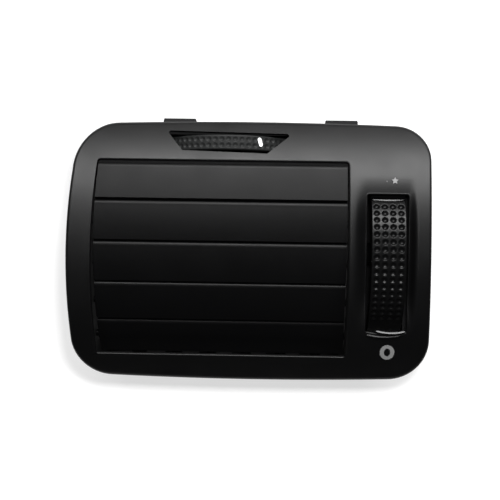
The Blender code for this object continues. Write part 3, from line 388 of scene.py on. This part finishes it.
def plastic(name, colour, roughness, grain, grain_size, variation=0.15, gloss=0.5):
    """Moulded plastic, and the base of the other finishes: a fine grain and slow changes in roughness."""
    mat = bpy.data.materials.new(name)
    mat.use_nodes = True
    tree = mat.node_tree
    shader = tree.nodes["Principled BSDF"]
    shader.inputs["Base Color"].default_value = (*colour, 1.0)
    shader.inputs["Roughness"].default_value = roughness
    shader.inputs["Specular IOR Level"].default_value = gloss
    coords = tree.nodes.new("ShaderNodeTexCoord")
    fine = tree.nodes.new("ShaderNodeTexNoise")
    fine.inputs["Scale"].default_value = grain_size
    fine.inputs["Detail"].default_value = 3.0
    slow = tree.nodes.new("ShaderNodeTexNoise")
    slow.inputs["Scale"].default_value = 60.0
    slow.inputs["Detail"].default_value = 2.0
    spread = tree.nodes.new("ShaderNodeMapRange")
    spread.inputs["To Min"].default_value = roughness * (1.0 - variation)
    spread.inputs["To Max"].default_value = roughness * (1.0 + variation)
    bump = tree.nodes.new("ShaderNodeBump")
    bump.inputs["Strength"].default_value = grain
    bump.inputs["Distance"].default_value = 0.0001
    tree.links.new(coords.outputs["Object"], fine.inputs["Vector"])
    tree.links.new(coords.outputs["Object"], slow.inputs["Vector"])
    tree.links.new(slow.outputs["Fac"], spread.inputs["Value"])
    tree.links.new(spread.outputs["Result"], shader.inputs["Roughness"])
    tree.links.new(fine.outputs["Fac"], bump.inputs["Height"])
    tree.links.new(bump.outputs["Normal"], shader.inputs["Normal"])
    return mat


def finish_of(key):
    """The material of one finish, made once."""
    found = bpy.data.materials.get("vent_" + key)
    if found:
        return found
    looks = bpy.context.scene.vent_looks
    grain = looks.grain
    recipes = {
        "face": (looks.face_colour, looks.face_roughness, grain, 1800.0),
        "gloss": (looks.face_colour, 0.2, 0.0, 1800.0),
        "slat": (looks.slat_colour, looks.slat_roughness, grain, 1800.0, 0.15, 0.28),
        "grip": (looks.grip_colour, looks.grip_roughness, grain * 0.5, 1800.0, 0.1, 0.3),
        # dial: its grey is partly the rim's own tone and partly a painted sheen of light
        "dial": (looks.dial_tone_and_sheen, 0.5, grain * 0.5, 1800.0, 0.1, 0.3),
        # inner: lighter than the bezel's black, a painted fill light on the duct and the parts behind the
        # face
        "inner": ((0.008, 0.008, 0.0082), 0.55, 0.3, 1200.0, 0.15, 0.3),
        "link": ((0.1, 0.1, 0.105), 0.5, 0.15, 1400.0),
        "gear": ((0.6, 0.59, 0.54), 0.45, 0.1, 1400.0),
        "mark": (looks.mark_colour, 0.5, 0.1, 1500.0),
        "print": (looks.print_colour, 0.6, 0.1, 1500.0),
        "star": (looks.star_colour, 0.6, 0.1, 1500.0),
        "foam": ((0.035, 0.035, 0.037), 0.95, 1.0, 700.0),
        "felt": ((0.14, 0.13, 0.12), 0.95, 1.0, 900.0),
        "steel": ((0.56, 0.57, 0.59), 0.32, 0.05, 900.0, 0.3),
    }
    mat = plastic("vent_" + key, *recipes[key])
    if key == "steel":
        mat.node_tree.nodes["Principled BSDF"].inputs["Metallic"].default_value = 1.0
    return mat


class VENT_looks(bpy.types.PropertyGroup):
    """Colours and finishes of the vent."""

    face_colour: bpy.props.FloatVectorProperty(
        name="Face colour", description="Colour of the bezel",
        default=(0.0012, 0.0012, 0.0013), size=3, subtype="COLOR"
    )
    slat_colour: bpy.props.FloatVectorProperty(
        name="Slat colour", description="Colour of the slats",
        default=(0.0012, 0.0012, 0.0013), size=3, subtype="COLOR"
    )
    grip_colour: bpy.props.FloatVectorProperty(
        name="Grip colour", description="Colour of the upright thumbwheel and of both wheels' webs",
        default=(0.002, 0.002, 0.0021), size=3, subtype="COLOR"
    )
    # Lighter than the other wheel: the rim's own grey with a painted sheen in it
    dial_tone_and_sheen: bpy.props.FloatVectorProperty(
        name="Dial colour", description="Colour of the level thumbwheel's rim",
        default=(0.014, 0.0145, 0.0145), size=3, subtype="COLOR"
    )
    mark_colour: bpy.props.FloatVectorProperty(
        name="Mark colour", description="Colour of the index mark",
        default=(0.8, 0.8, 0.8), size=3, subtype="COLOR"
    )
    print_colour: bpy.props.FloatVectorProperty(
        name="Print colour", description="Colour of the ring and the dot by the wheel",
        default=(0.13, 0.13, 0.13), size=3, subtype="COLOR"
    )
    star_colour: bpy.props.FloatVectorProperty(
        name="Star colour", description="Colour of the star by the wheel",
        default=(0.2, 0.2, 0.2), size=3, subtype="COLOR"
    )
    face_roughness: bpy.props.FloatProperty(
        name="Face roughness", description="Roughness of the bezel",
        default=0.42, min=0.05, max=1.0, subtype="FACTOR"
    )
    slat_roughness: bpy.props.FloatProperty(
        name="Slat roughness", description="Roughness of the slats",
        default=0.45, min=0.05, max=1.0, subtype="FACTOR"
    )
    grip_roughness: bpy.props.FloatProperty(
        name="Grip roughness", description="Roughness of the upright thumbwheel and of both wheels' webs",
        default=0.33, min=0.05, max=1.0, subtype="FACTOR"
    )
    grain: bpy.props.FloatProperty(
        name="Grain", description="Strength of the moulded grain",
        default=0.25, min=0.0, max=1.0, subtype="FACTOR"
    )


class VENT_shape(bpy.types.PropertyGroup):
    """Sizes that a user would change."""

    lip_radius: bpy.props.FloatProperty(
        name="Lip radius", description="Radius of the bead round the upright wheel's window",
        default=0.0007, unit="LENGTH"
    )
    dimple_depth: bpy.props.FloatProperty(
        name="Dimple depth", description="Depth of the dimples in the grips",
        default=0.00095, unit="LENGTH"
    )


class VENT_view(bpy.types.PropertyGroup):
    """Place and lens of the camera."""

    distance: bpy.props.FloatProperty(
        name="Camera distance", description="From the lens to the face", default=0.5, unit="LENGTH"
    )
    azimuth: bpy.props.FloatProperty(
        name="Azimuth", description="Camera angle to the right", default=math.radians(1.22), subtype="ANGLE"
    )
    elevation: bpy.props.FloatProperty(
        name="Elevation", description="Camera angle above the level",
        default=math.radians(-0.3), subtype="ANGLE"
    )
    roll: bpy.props.FloatProperty(
        name="Roll", description="Turn of the picture, clockwise",
        default=math.radians(0.92), subtype="ANGLE"
    )
    lens: bpy.props.FloatProperty(
        name="Lens", description="Focal length on a 36 mm sensor", default=78.7, min=10.0, max=300.0
    )


def bezel_outline(inset):
    """The bezel's outline, drawn in by an inset."""
    return rounded_loop(BEZEL_RECT, BEZEL_CORNERS, BEZEL_BOWS, inset, SIDE_POINTS, CORNER_STEPS)


def opening_outline(grow):
    """The slat opening's outline, grown by a margin that is smaller at the left."""
    left, right, low, high = OPENING_RECT
    rect = (left - OPENING_LEFT_SHARE * grow, right + grow, low - grow, high + grow)
    corners = ((OPENING_CORNER + OPENING_LEFT_SHARE * grow, OPENING_CORNER + grow),) * 4
    return rounded_loop(rect, corners, OPENING_BOWS, 0.0, SIDE_POINTS, CORNER_STEPS)


def between(a, b, t):
    """Outline part of the way from one outline to another."""
    return [(p[0] + (q[0] - p[0]) * t, p[1] + (q[1] - p[1]) * t) for p, q in zip(a, b)]


class VENT_OT_bezel(bpy.types.Operator):
    """Build the bezel with its hollow, windows, bead and sill lines."""

    bl_idname = "vent.bezel"
    bl_label = "Bezel"

    def execute(self, context):
        """Build the shell, then lay the bead and the lines on it."""
        self.shell()
        self.bead_round_window(context.scene.vent_shape.lip_radius)
        self.sill_lines()
        return {"FINISHED"}

    def shell(self):
        """Bridge rings over the face into the opening and back inside, then cut the windows."""
        bm = bmesh.new()

        def ring(points, depth):
            return add_ring(bm, [spot(x, depth(x, z), z) for x, z in points])

        rings = [ring(bezel_outline(0.0), lambda x, z: SKIRT_BACK)]
        for k in range(9):
            a = math.radians(11.25 * k)
            inset, drop = EDGE_R * (1.0 - math.cos(a)), EDGE_R * (1.0 - math.sin(a))
            rings.append(ring(bezel_outline(inset), lambda x, z, d=drop: face_depth(z) + d))
        start, finish = bezel_outline(EDGE_R), opening_outline(OPENING_EDGE_R)
        for k in range(1, FACE_RINGS):
            rings.append(ring(between(start, finish, k / FACE_RINGS), front_depth))
        for k in range(7):
            a = math.radians(90.0 - 15.0 * k)
            grow, drop = OPENING_EDGE_R * (1.0 - math.cos(a)), OPENING_EDGE_R * (1.0 - math.sin(a))
            rings.append(ring(opening_outline(grow), lambda x, z, d=drop: face_depth(z) + d))
        rings.append(ring(opening_outline(0.0), lambda x, z: face_depth(z) + WALL))
        start, finish = bezel_outline(SKIRT_WALL + INNER_EDGE), opening_outline(OPENING_INNER)
        for k in range(INNER_RINGS, -1, -1):
            rings.append(ring(between(start, finish, k / INNER_RINGS), lambda x, z: front_depth(x, z) + WALL))
        rings.append(ring(bezel_outline(SKIRT_WALL), lambda x, z: face_depth(z) + WALL + INNER_EDGE))
        rings.append(ring(bezel_outline(SKIRT_WALL), lambda x, z: SKIRT_BACK))
        bridge_rings(bm, rings, closed=True)
        piece = new_piece("bezel_face", bm, finish_of("face"))
        boolean_cut(piece, rounded_loop(WINDOW, WINDOW_CORNERS, WINDOW_BOWS, 0.0, WINDOW_POINTS, 5))
        boolean_cut(piece, filleted(SLOT, SLOT_CORNERS))
        smooth_shaded(piece.data)
        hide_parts("bezel")
        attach(piece, "housing")

    def bead_round_window(self, radius):
        """Lay a rounded bead along the edge of the upright wheel's window."""
        size = radius / MM
        window = rounded_loop(WINDOW, WINDOW_CORNERS, WINDOW_BOWS, -size * 0.35, LIP_POINTS, 5)
        bm = bmesh.new()
        bead(bm, [spot(x, front_depth(x, z) + size * 0.85, z) for x, z in window], radius)
        piece = new_piece("wheel_window_lip", bm, finish_of("face"))
        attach(piece, "housing")

    def sill_lines(self):
        """Lay the two thin lines on the window's sill under the upright wheel."""
        for name, offset, rise, span, half, finish in SILL_LINES:
            path = []
            for side, z in sagging(span, WINDOW[2] + rise, SILL["sag"]):
                x = WHEEL["x"] + offset + side
                path.append(spot(x, front_depth(x, z) - SILL["lift"], z))
            bm = bmesh.new()
            beam(bm, path, half, SILL["lean"], SILL["thick"])
            piece = new_piece(name, bm, finish_of(finish), 60.0)
            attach(piece, "housing")


def capsule(a, b, radius, steps=8):
    """Outline of a bar with round ends between two points."""
    along = math.atan2(b[1] - a[1], b[0] - a[0])
    points = []
    for centre, start in ((a, along + math.pi / 2.0), (b, along - math.pi / 2.0)):
        for i in range(steps + 1):
            t = start + math.pi * i / steps
            points.append((centre[0] + radius * math.cos(t), centre[1] + radius * math.sin(t)))
    return points


def opening_left(z):
    """The opening's bowed left side at a height."""
    left, low, high = OPENING_RECT[0], OPENING_RECT[2] + OPENING_CORNER, OPENING_RECT[3] - OPENING_CORNER
    t = min(1.0, max(0.0, (high - z) / (high - low)))
    return left - OPENING_BOWS[1] * 4.0 * t * (1.0 - t)


def slat_angle(index):
    """Tilt of a slat's place on the arc, in radians."""
    return SLAT_FIRST - (index + 0.5) * SLAT_PITCH / SLAT_ARC_R


def slat_pivot(index):
    """A slat's pivot in millimetres as (y, z)."""
    tilt, radius = slat_angle(index), SLAT_ARC_R - SLAT_CREST
    return SLAT_RECESS + SLAT_ARC_R - radius * math.cos(tilt), SLAT_ARC_Z + radius * math.sin(tilt)


def slat_outline(index):
    """Section of a slat in millimetres as (y, z): crowned face, round nose above, lap below."""
    bend, nose = SLAT_FACE_R[index], SLAT_HIGH[index] - SLAT_NOSE

    def crest(s):
        return SLAT_CREST - (bend - math.sqrt(bend * bend - s * s))

    face = [SLAT_LOW + (nose - SLAT_LOW) * k / SLAT_STEPS for k in range(SLAT_STEPS + 1)]
    points = [(s, crest(s)) for s in face]
    for k in range(1, 17):
        a = math.radians(90.0 - 9.0 * k)
        points.append((nose + SLAT_NOSE * math.cos(a), crest(nose) - SLAT_NOSE_R * (1.0 - math.sin(a))))
    points += [(s, crest(s) - SLAT_THICK) for s in (nose - 0.6, *SLAT_BACK)]
    points += [*SLAT_LAP, (SLAT_LOW - 0.1, crest(SLAT_LOW) - 0.35)]
    tilt = slat_angle(index)
    y, z = slat_pivot(index)
    along, out = math.sin(tilt), math.cos(tilt)
    return [(y + s * along - n * out, z + s * out + n * along) for s, n in points]


class VENT_OT_slats(bpy.types.Operator):
    """Build the five slats with their shafts and cranks."""

    bl_idname = "vent.slats"
    bl_label = "Slats"

    def execute(self, context):
        """Extrude each blade's section across the opening and add its bearings."""
        for index in range(SLAT_COUNT):
            bm = bmesh.new()
            self.blade(bm, index)
            self.bearings(bm, index)
            piece = new_piece(f"slat_blade_{index + 1}", bm, finish_of("slat"), 30.0)
            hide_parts(f"slat_{index + 1}")
            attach(piece, f"slat_{index + 1}")
        return {"FINISHED"}

    def blade(self, bm, index):
        """Make the blade, whose left end follows the opening's bowed side."""
        section = [spot(SLAT_X[0], y, z) for y, z in slat_outline(index)]
        extruded(bm, section, Vector(((SLAT_X[1] - SLAT_X[0]) * MM, 0.0, 0.0)))
        for vert in bm.verts:
            place = (vert.co - ORIGIN) / MM
            if place.x < 0.0:
                vert.co.x = spot(opening_left(place.z) + SLAT_GAP, 0.0, 0.0).x

    def bearings(self, bm, index):
        """Add the shafts at both ends, the crank and its pin."""
        pivot = slat_pivot(index)
        low, high = SLAT_X
        tube(bm, pivot, BOSS_R, low + BOSS_INSET, low + BOSS_LENGTH)
        tube(bm, pivot, BOSS_R, high - BOSS_LENGTH, high - BOSS_INSET)
        tube(bm, pivot, SHAFT_R, CRANK_X[0] + CRANK_SUNK, low + SHAFT_SUNK)
        tube(bm, pivot, SHAFT_R, high - SHAFT_SUNK, GEAR_RIGHT if index == GEAR_SLAT else SHAFT_RIGHT)
        reach = CRANK_LEN * math.sqrt(0.5)
        tip = (pivot[0] + reach, pivot[1] - reach)
        tube(bm, tip, CRANK_PIN_R, LINK_X[0] - PIN_OFFSET, CRANK_X[1] - PIN_OFFSET)
        bar = [spot(CRANK_X[0], y, z) for y, z in capsule(pivot, tip, CRANK_R)]
        extruded(bm, bar, Vector(((CRANK_X[1] - CRANK_X[0]) * MM, 0.0, 0.0)))


def tube(bm, axis_point, radius, low, high, steps=28):
    """Closed cylinder along X between two x values, in millimetres."""
    middle = spot((low + high) / 2.0, *axis_point)
    turn = Matrix.Rotation(math.pi / 2.0, 4, "Y")
    bmesh.ops.create_cone(
        bm, cap_ends=True, segments=steps, radius1=radius * MM, radius2=radius * MM,
        depth=(high - low) * MM, matrix=Matrix.Translation(middle) @ turn
    )


def grip_angles(first, count, step, ends):
    """Angles along a grip: coarse beyond the dimples and fine between them."""
    before, after = [], []
    a = ends[0]
    while a < first - COARSE_GAP:
        before.append(a)
        a += COARSE_STEP
    a = ends[1]
    while a > first + count * step + COARSE_GAP:
        after.insert(0, a)
        a -= COARSE_STEP
    middle = [first + step * i / DIMPLE_STEPS for i in range(count * DIMPLE_STEPS + 1)]
    return before + middle + after


def grip_widths(low, high, across, pitch):
    """Places across a grip: its rounded edges and fine ones between them, and where the dimples start."""
    start = low + (high - low - across * pitch) / 2.0
    middle = [start + pitch * i / DIMPLE_STEPS for i in range(across * DIMPLE_STEPS + 1)]
    left, right = [low + e for e in EDGE_STATIONS], [high - e for e in reversed(EDGE_STATIONS)]
    return left + middle + right, start


def grip_point(axis, centre, angle, w, r):
    """A point of a drum in the row frame, from its angle, its place across and its radius."""
    u, v = centre[0] - r * math.cos(angle), centre[1] + r * math.sin(angle)
    return spot(w, u, v) if axis == "X" else spot(v, u, w)


def grip_skin(name, finish, axis, centre, radius, low, high, cells, rows, ends, depth):
    """Rim of a thumbwheel with rows of round dimples, from a bent grid with its wall drawn inward."""
    across, pitch = cells
    first, count, step = rows
    angles = grip_angles(first, count, step, ends)
    widths, start = grip_widths(low, high, across, pitch)
    columns, lines = len(widths) - 1, len(angles) - 1
    bm = bmesh.new()
    bmesh.ops.create_grid(bm, x_segments=columns, y_segments=lines, size=1.0)
    places = {}
    for vert in bm.verts:
        w = widths[round((vert.co.x + 1.0) / 2.0 * columns)]
        angle = angles[round((vert.co.y + 1.0) / 2.0 * lines)]
        edge = min(w - low, high - w, RIM_EDGE)
        r = radius - RIM_EDGE + math.sqrt(RIM_EDGE ** 2 - (RIM_EDGE - edge) ** 2)
        p, q = (w - start) / pitch, (angle - first) / step
        if 0.0 < p < across and 0.0 < q < count:
            reach = math.hypot((p % 1.0) - 0.5, (q % 1.0) - 0.5) / DIMPLE_REACH
            if reach < 1.0:
                r -= depth * (1.0 - reach ** 2) ** 0.8
        vert.co = grip_point(axis, centre, angle, w, r)
        places[tuple(round(c, 9) for c in vert.co)] = (angle, w)
    inner = bmesh.ops.extrude_face_region(bm, geom=list(bm.faces))
    for item in inner["geom"]:
        if isinstance(item, bmesh.types.BMVert):
            angle, w = places[tuple(round(c, 9) for c in item.co)]
            item.co = grip_point(axis, centre, angle, w, radius - RIM)
    return new_piece(name, bm, finish_of(finish), 50.0)


def wheel_core(name, node, axis, centre, radius, middle, web):
    """The web, hub and gear of a thumbwheel, taken from the frame's node without its rim."""
    bm = bmesh.new()
    bm.from_mesh(NODES[node].data)
    bmesh.ops.remove_doubles(bm, verts=bm.verts, dist=MERGE)
    flat = 0 if axis == "X" else 2
    hub = grip_point(axis, centre, 0.0, middle, 0.0)

    def in_rim(vert):
        arm = vert.co - hub
        arm[flat] = 0.0
        return arm.length > (radius - RIM - 0.15) * MM

    def on_web(face):
        offset = abs(face.calc_center_median()[flat] - hub[flat])
        return abs(face.normal[flat]) > 0.99 and offset < (web + 0.1) * MM

    gone = [face for face in bm.faces if all(in_rim(v) for v in face.verts) and not on_web(face)]
    bmesh.ops.delete(bm, geom=gone, context="FACES")
    return as_object(name, bm, finish_of("grip"), 35.0)


class VENT_OT_grips(bpy.types.Operator):
    """Build both thumbwheels with smooth dimples, and the white mark."""

    bl_idname = "vent.grips"
    bl_label = "Thumbwheels"

    def execute(self, context):
        """Bend a fine grid into each rim and keep the frame's own webs and gears."""
        depth = context.scene.vent_shape.dimple_depth / MM
        self.upright_wheel(depth)
        self.level_wheel(depth * DIAL_ROWS["depth"])
        self.index_mark()
        return {"FINISHED"}

    def upright_wheel(self, depth):
        """Make the upright wheel's rim and core, and the bright rib at its top."""
        radius, centre, half = WHEEL["radius"], (WHEEL["y"], WHEEL["z"]), WHEEL["width"] / 2.0
        count, step = WHEEL_ROWS["count"], WHEEL_ROWS["pitch"] / radius
        first = math.radians(WHEEL_ROWS["top"]) - count * step
        ends = [math.radians(end) for end in WHEEL_ROWS["ends"]]
        skin = grip_skin(
            "wheel_grip", "grip", "X", centre, radius, WHEEL["x"] - half, WHEEL["x"] + half,
            WHEEL_ROWS["cells"], (first, count, step), ends, depth
        )
        core = wheel_core("wheel_core", "slat_wheel", "X", centre, radius, WHEEL["x"], WHEEL_WEB)
        path = []
        for side, z in sagging(RIB["span"], RIB["z"], RIB["sag"]):
            front = WHEEL["y"] - math.sqrt(radius ** 2 - (z - WHEEL["z"]) ** 2)
            path.append(spot(WHEEL["x"] + side, front - RIB["lift"], z))
        bm = bmesh.new()
        beam(bm, path, RIB["half"], RIB["lean"], RIB["thick"])
        rib = new_piece("wheel_rib", bm, finish_of("gloss"), 60.0)
        for piece in (skin, core, rib):
            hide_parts("slat_wheel")
            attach(piece, "slat_wheel")

    def level_wheel(self, depth):
        """Make the level wheel's rim and core."""
        centre, half = (DIAL["y"], DIAL["x"]), DIAL["height"] / 2.0
        reach, middle = math.radians(DIAL_ROWS["reach"]), math.radians(DIAL["rest"])
        step = DIAL_ROWS["pitch"] / DIAL_FRAME_R
        count = int(2.0 * (reach - DIAL_ROWS["margin"]) / step)
        first = middle - count * step / 2.0
        skin = grip_skin(
            "dial_grip", "dial", "Z", centre, DIAL["radius"], DIAL["z"] - half, DIAL["z"] + half,
            DIAL_ROWS["cells"], (first, count, step), (middle - reach, middle + reach), depth
        )
        core = wheel_core("dial_core", "vane_wheel", "Z", centre, DIAL_FRAME_R, DIAL["z"], DIAL_WEB)
        for piece in (skin, core):
            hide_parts("vane_wheel")
            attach(piece, "vane_wheel")

    def index_mark(self):
        """Lay the white mark on the level wheel's rim."""
        a, radius = math.radians(INDEX["angle"]), DIAL["radius"]
        centre = (DIAL["y"], DIAL["x"])
        points = []
        for u, w in capsule(INDEX["low"], INDEX["high"], INDEX["radius"], 10):
            points.append(grip_point("Z", centre, a + u / radius, w, radius + INDEX_PROUD))
        bm = bmesh.new()
        extruded(bm, points, Vector((-math.sin(a), math.cos(a), 0.0)) * INDEX_THICK * MM)
        index = new_piece("index_capsule", bm, finish_of("mark"), 50.0)
        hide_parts("index_mark")
        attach(index, "vane_wheel")


class VENT_OT_marks(bpy.types.Operator):
    """Build the printed ring and the dot by the upright wheel."""

    bl_idname = "vent.marks"
    bl_label = "Printed marks"

    def execute(self, context):
        """Lay both marks on the face."""
        self.ring()
        self.dot()
        return {"FINISHED"}

    def ring(self):
        """Make the thin ring under the upright wheel."""
        low, high = PRINT_LIFT
        rings = []
        bm = bmesh.new()
        for radii, lift in ((RING_OUTER, low), (RING_OUTER, high), (RING_INNER, high), (RING_INNER, low)):
            points = []
            for i in range(RING_STEPS):
                a = 2.0 * math.pi * i / RING_STEPS
                x, z = RING_CENTRE[0] + radii[0] * math.cos(a), RING_CENTRE[1] + radii[1] * math.sin(a)
                points.append(spot(x, front_depth(x, z) - lift, z))
            rings.append(add_ring(bm, points))
        bridge_rings(bm, rings, closed=True)
        ring = new_piece("closed_ring", bm, finish_of("print"), 50.0)
        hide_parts("closed_symbol")
        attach(ring, "housing")

    def dot(self):
        """Make the small dot beside the star."""
        x, z = STAR_DOT
        place = spot(x, front_depth(x, z) + STAR_DOT_SUNK, z)
        bm = bmesh.new()
        bmesh.ops.create_uvsphere(
            bm, u_segments=12, v_segments=8, radius=STAR_DOT_R * MM, matrix=Matrix.Translation(place)
        )
        dot = new_piece("star_dot", bm, finish_of("print"), 60.0)
        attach(dot, "housing")


# Frame nodes that are shown as they are, under each finish
DRESSED = {
    # The inner finish carries a painted fill light
    "inner": ("duct_housing", "wheel_cover", "dial_cover", *(f"vane_{i}" for i in range(1, 7))),
    "link": ("slat_link", "vane_link"),
    "gear": ("slat_pinion",),
    "steel": ("slat_wheel_axle", "slat_wheel_clip", "vane_wheel_clip", "clip_left", "clip_right"),
    "felt": ("friction_washer",),
    "foam": ("duct_seal",),
    "star": ("open_symbol",),
}


class VENT_OT_dress(bpy.types.Operator):
    """Give every shown frame node its finish."""

    bl_idname = "vent.dress"
    bl_label = "Finishes"

    def execute(self, context):
        """Put the finishes on the frame's nodes."""
        for key, nodes in DRESSED.items():
            for node in nodes:
                mesh = NODES[node].data
                mesh.materials.clear()
                mesh.materials.append(finish_of(key))
        return {"FINISHED"}


def direction(azimuth, elevation):
    """Unit vector from the face to a place in front of it, from its angles to the right and upward."""
    a, e = math.radians(azimuth), math.radians(elevation)
    return Vector((math.sin(a) * math.cos(e), -math.cos(a) * math.cos(e), math.sin(e)))


def area_light(name, place, target, size, power, seen):
    """Soft rectangular lamp aimed at a point, seen directly and in reflections or not at all."""
    lamp = bpy.data.lights.new(name, "AREA")
    lamp.shape = "RECTANGLE"
    lamp.size, lamp.size_y = size
    lamp.energy = power
    obj = bpy.data.objects.new(name, lamp)
    bpy.context.scene.collection.objects.link(obj)
    obj.location = place
    obj.rotation_euler = (target - place).to_track_quat("-Z", "Y").to_euler()
    obj.visible_glossy = seen
    obj.visible_camera = seen


def backdrop_finish():
    """White to the camera, less bright in reflections, grey to the light, and clear from behind."""
    mat = bpy.data.materials.new("vent_backdrop")
    mat.use_nodes = True
    tree = mat.node_tree
    shader = tree.nodes["Principled BSDF"]
    shader.inputs["Base Color"].default_value = (BACKDROP_GREY, BACKDROP_GREY, BACKDROP_GREY, 1.0)
    shader.inputs["Roughness"].default_value = 1.0
    shader.inputs["Specular IOR Level"].default_value = 0.0
    shader.inputs["Emission Color"].default_value = (1.0, 1.0, 1.0, 1.0)
    seen = tree.nodes.new("ShaderNodeLightPath")
    strength = tree.nodes.new("ShaderNodeMapRange")
    total = None
    for ray, level in BACKDROP_GLOW:
        part = tree.nodes.new("ShaderNodeMath")
        part.operation = "MULTIPLY_ADD"
        part.inputs[1].default_value = level
        part.inputs[2].default_value = 0.0
        tree.links.new(seen.outputs[ray], part.inputs[0])
        if total is not None:
            tree.links.new(total.outputs[0], part.inputs[2])
        total = part
    tree.links.new(total.outputs[0], strength.inputs["Value"])
    tree.links.new(strength.outputs["Result"], shader.inputs["Emission Strength"])
    clear = tree.nodes.new("ShaderNodeBsdfTransparent")
    facing = tree.nodes.new("ShaderNodeNewGeometry")
    mix = tree.nodes.new("ShaderNodeMixShader")
    tree.links.new(facing.outputs["Backfacing"], mix.inputs[0])
    tree.links.new(shader.outputs[0], mix.inputs[1])
    tree.links.new(clear.outputs[0], mix.inputs[2])
    tree.links.new(mix.outputs[0], tree.nodes["Material Output"].inputs["Surface"])
    return mat


class VENT_OT_stage(bpy.types.Operator):
    """Set the backdrop, the lamps, the world and the camera."""

    bl_idname = "vent.stage"
    bl_label = "Stage"

    def execute(self, context):
        """White backdrop behind the vent that keeps its shadow, soft light from above in front."""
        target = spot(0.0, 0.0, 0.0)
        self.backdrop()
        for name, azimuth, elevation, distance, size, power, seen in LAMPS:
            area_light(name, target + direction(azimuth, elevation) * distance, target, size, power, seen)
        self.world(context.scene)
        self.camera(context.scene, target)
        context.scene.view_settings.view_transform = "Standard"
        return {"FINISHED"}

    def backdrop(self):
        """Stand an upright sheet behind the vent."""
        bm = bmesh.new()
        bmesh.ops.create_grid(bm, x_segments=1, y_segments=1, size=BACKDROP_HALF)
        upright = Matrix.Translation(spot(0.0, BACKDROP_Y, 0.0)) @ Matrix.Rotation(math.pi / 2.0, 4, "X")
        bmesh.ops.transform(bm, matrix=upright, verts=bm.verts)
        mesh = bpy.data.meshes.new("backdrop")
        bm.to_mesh(mesh)
        bm.free()
        mesh.materials.append(backdrop_finish())
        backdrop = bpy.data.objects.new("backdrop", mesh)
        bpy.context.scene.collection.objects.link(backdrop)

    def world(self, scene):
        """White to the camera and a faint fill light for everything else."""
        world = bpy.data.worlds.new("studio")
        scene.world = world
        world.use_nodes = True
        nodes, links = world.node_tree.nodes, world.node_tree.links
        back = nodes["Background"]
        back.inputs["Color"].default_value = (1.0, 1.0, 1.0, 1.0)
        path = nodes.new("ShaderNodeLightPath")
        level = nodes.new("ShaderNodeMapRange")
        level.inputs["To Min"].default_value = WORLD_FILL
        level.inputs["To Max"].default_value = 1.0
        links.new(path.outputs["Is Camera Ray"], level.inputs["Value"])
        links.new(level.outputs["Result"], back.inputs["Strength"])

    def camera(self, scene, target):
        """Set the camera square in front of the face."""
        view = scene.vent_view
        data = bpy.data.cameras.new("camera")
        data.lens = view.lens
        data.sensor_width = 36.0
        camera = bpy.data.objects.new("camera", data)
        scene.collection.objects.link(camera)
        place = target + direction(math.degrees(view.azimuth), math.degrees(view.elevation)) * view.distance
        look = (target - place).to_track_quat("-Z", "Y").to_matrix().to_4x4()
        camera.matrix_world = Matrix.Translation(place) @ look @ Matrix.Rotation(view.roll, 4, "Z")
        scene.camera = camera


class VENT_PT_panel(bpy.types.Panel):
    """The vent's operators and values in the sidebar."""

    bl_idname = "VENT_PT_panel"
    bl_label = "Dashboard air vent"
    bl_space_type = "VIEW_3D"
    bl_region_type = "UI"
    bl_category = "Air vent"

    def draw(self, context):
        """List the operators and the values."""
        for name in STEPS:
            self.layout.operator(name)
        for group in (context.scene.vent_shape, context.scene.vent_looks, context.scene.vent_view):
            for key in group.__annotations__:
                self.layout.prop(group, key)


STEPS = ("vent.bezel", "vent.slats", "vent.grips", "vent.marks", "vent.dress", "vent.stage")
CLASSES = (
    VENT_looks, VENT_shape, VENT_view, VENT_OT_bezel, VENT_OT_slats, VENT_OT_grips, VENT_OT_marks,
    VENT_OT_dress, VENT_OT_stage, VENT_PT_panel,
)


def register():
    """Register the classes and their values on the scene."""
    for cls in CLASSES:
        bpy.utils.register_class(cls)
    bpy.types.Scene.vent_looks = bpy.props.PointerProperty(type=VENT_looks)
    bpy.types.Scene.vent_shape = bpy.props.PointerProperty(type=VENT_shape)
    bpy.types.Scene.vent_view = bpy.props.PointerProperty(type=VENT_view)


def unregister():
    """Take the values and classes away again."""
    del bpy.types.Scene.vent_view
    del bpy.types.Scene.vent_shape
    del bpy.types.Scene.vent_looks
    for cls in reversed(CLASSES):
        bpy.utils.unregister_class(cls)


def main():
    """Build all pieces in order."""
    register()
    for step in STEPS:
        group, name = step.split(".")
        getattr(getattr(bpy.ops, group), name)()


if __name__ == "__main__":
    main()
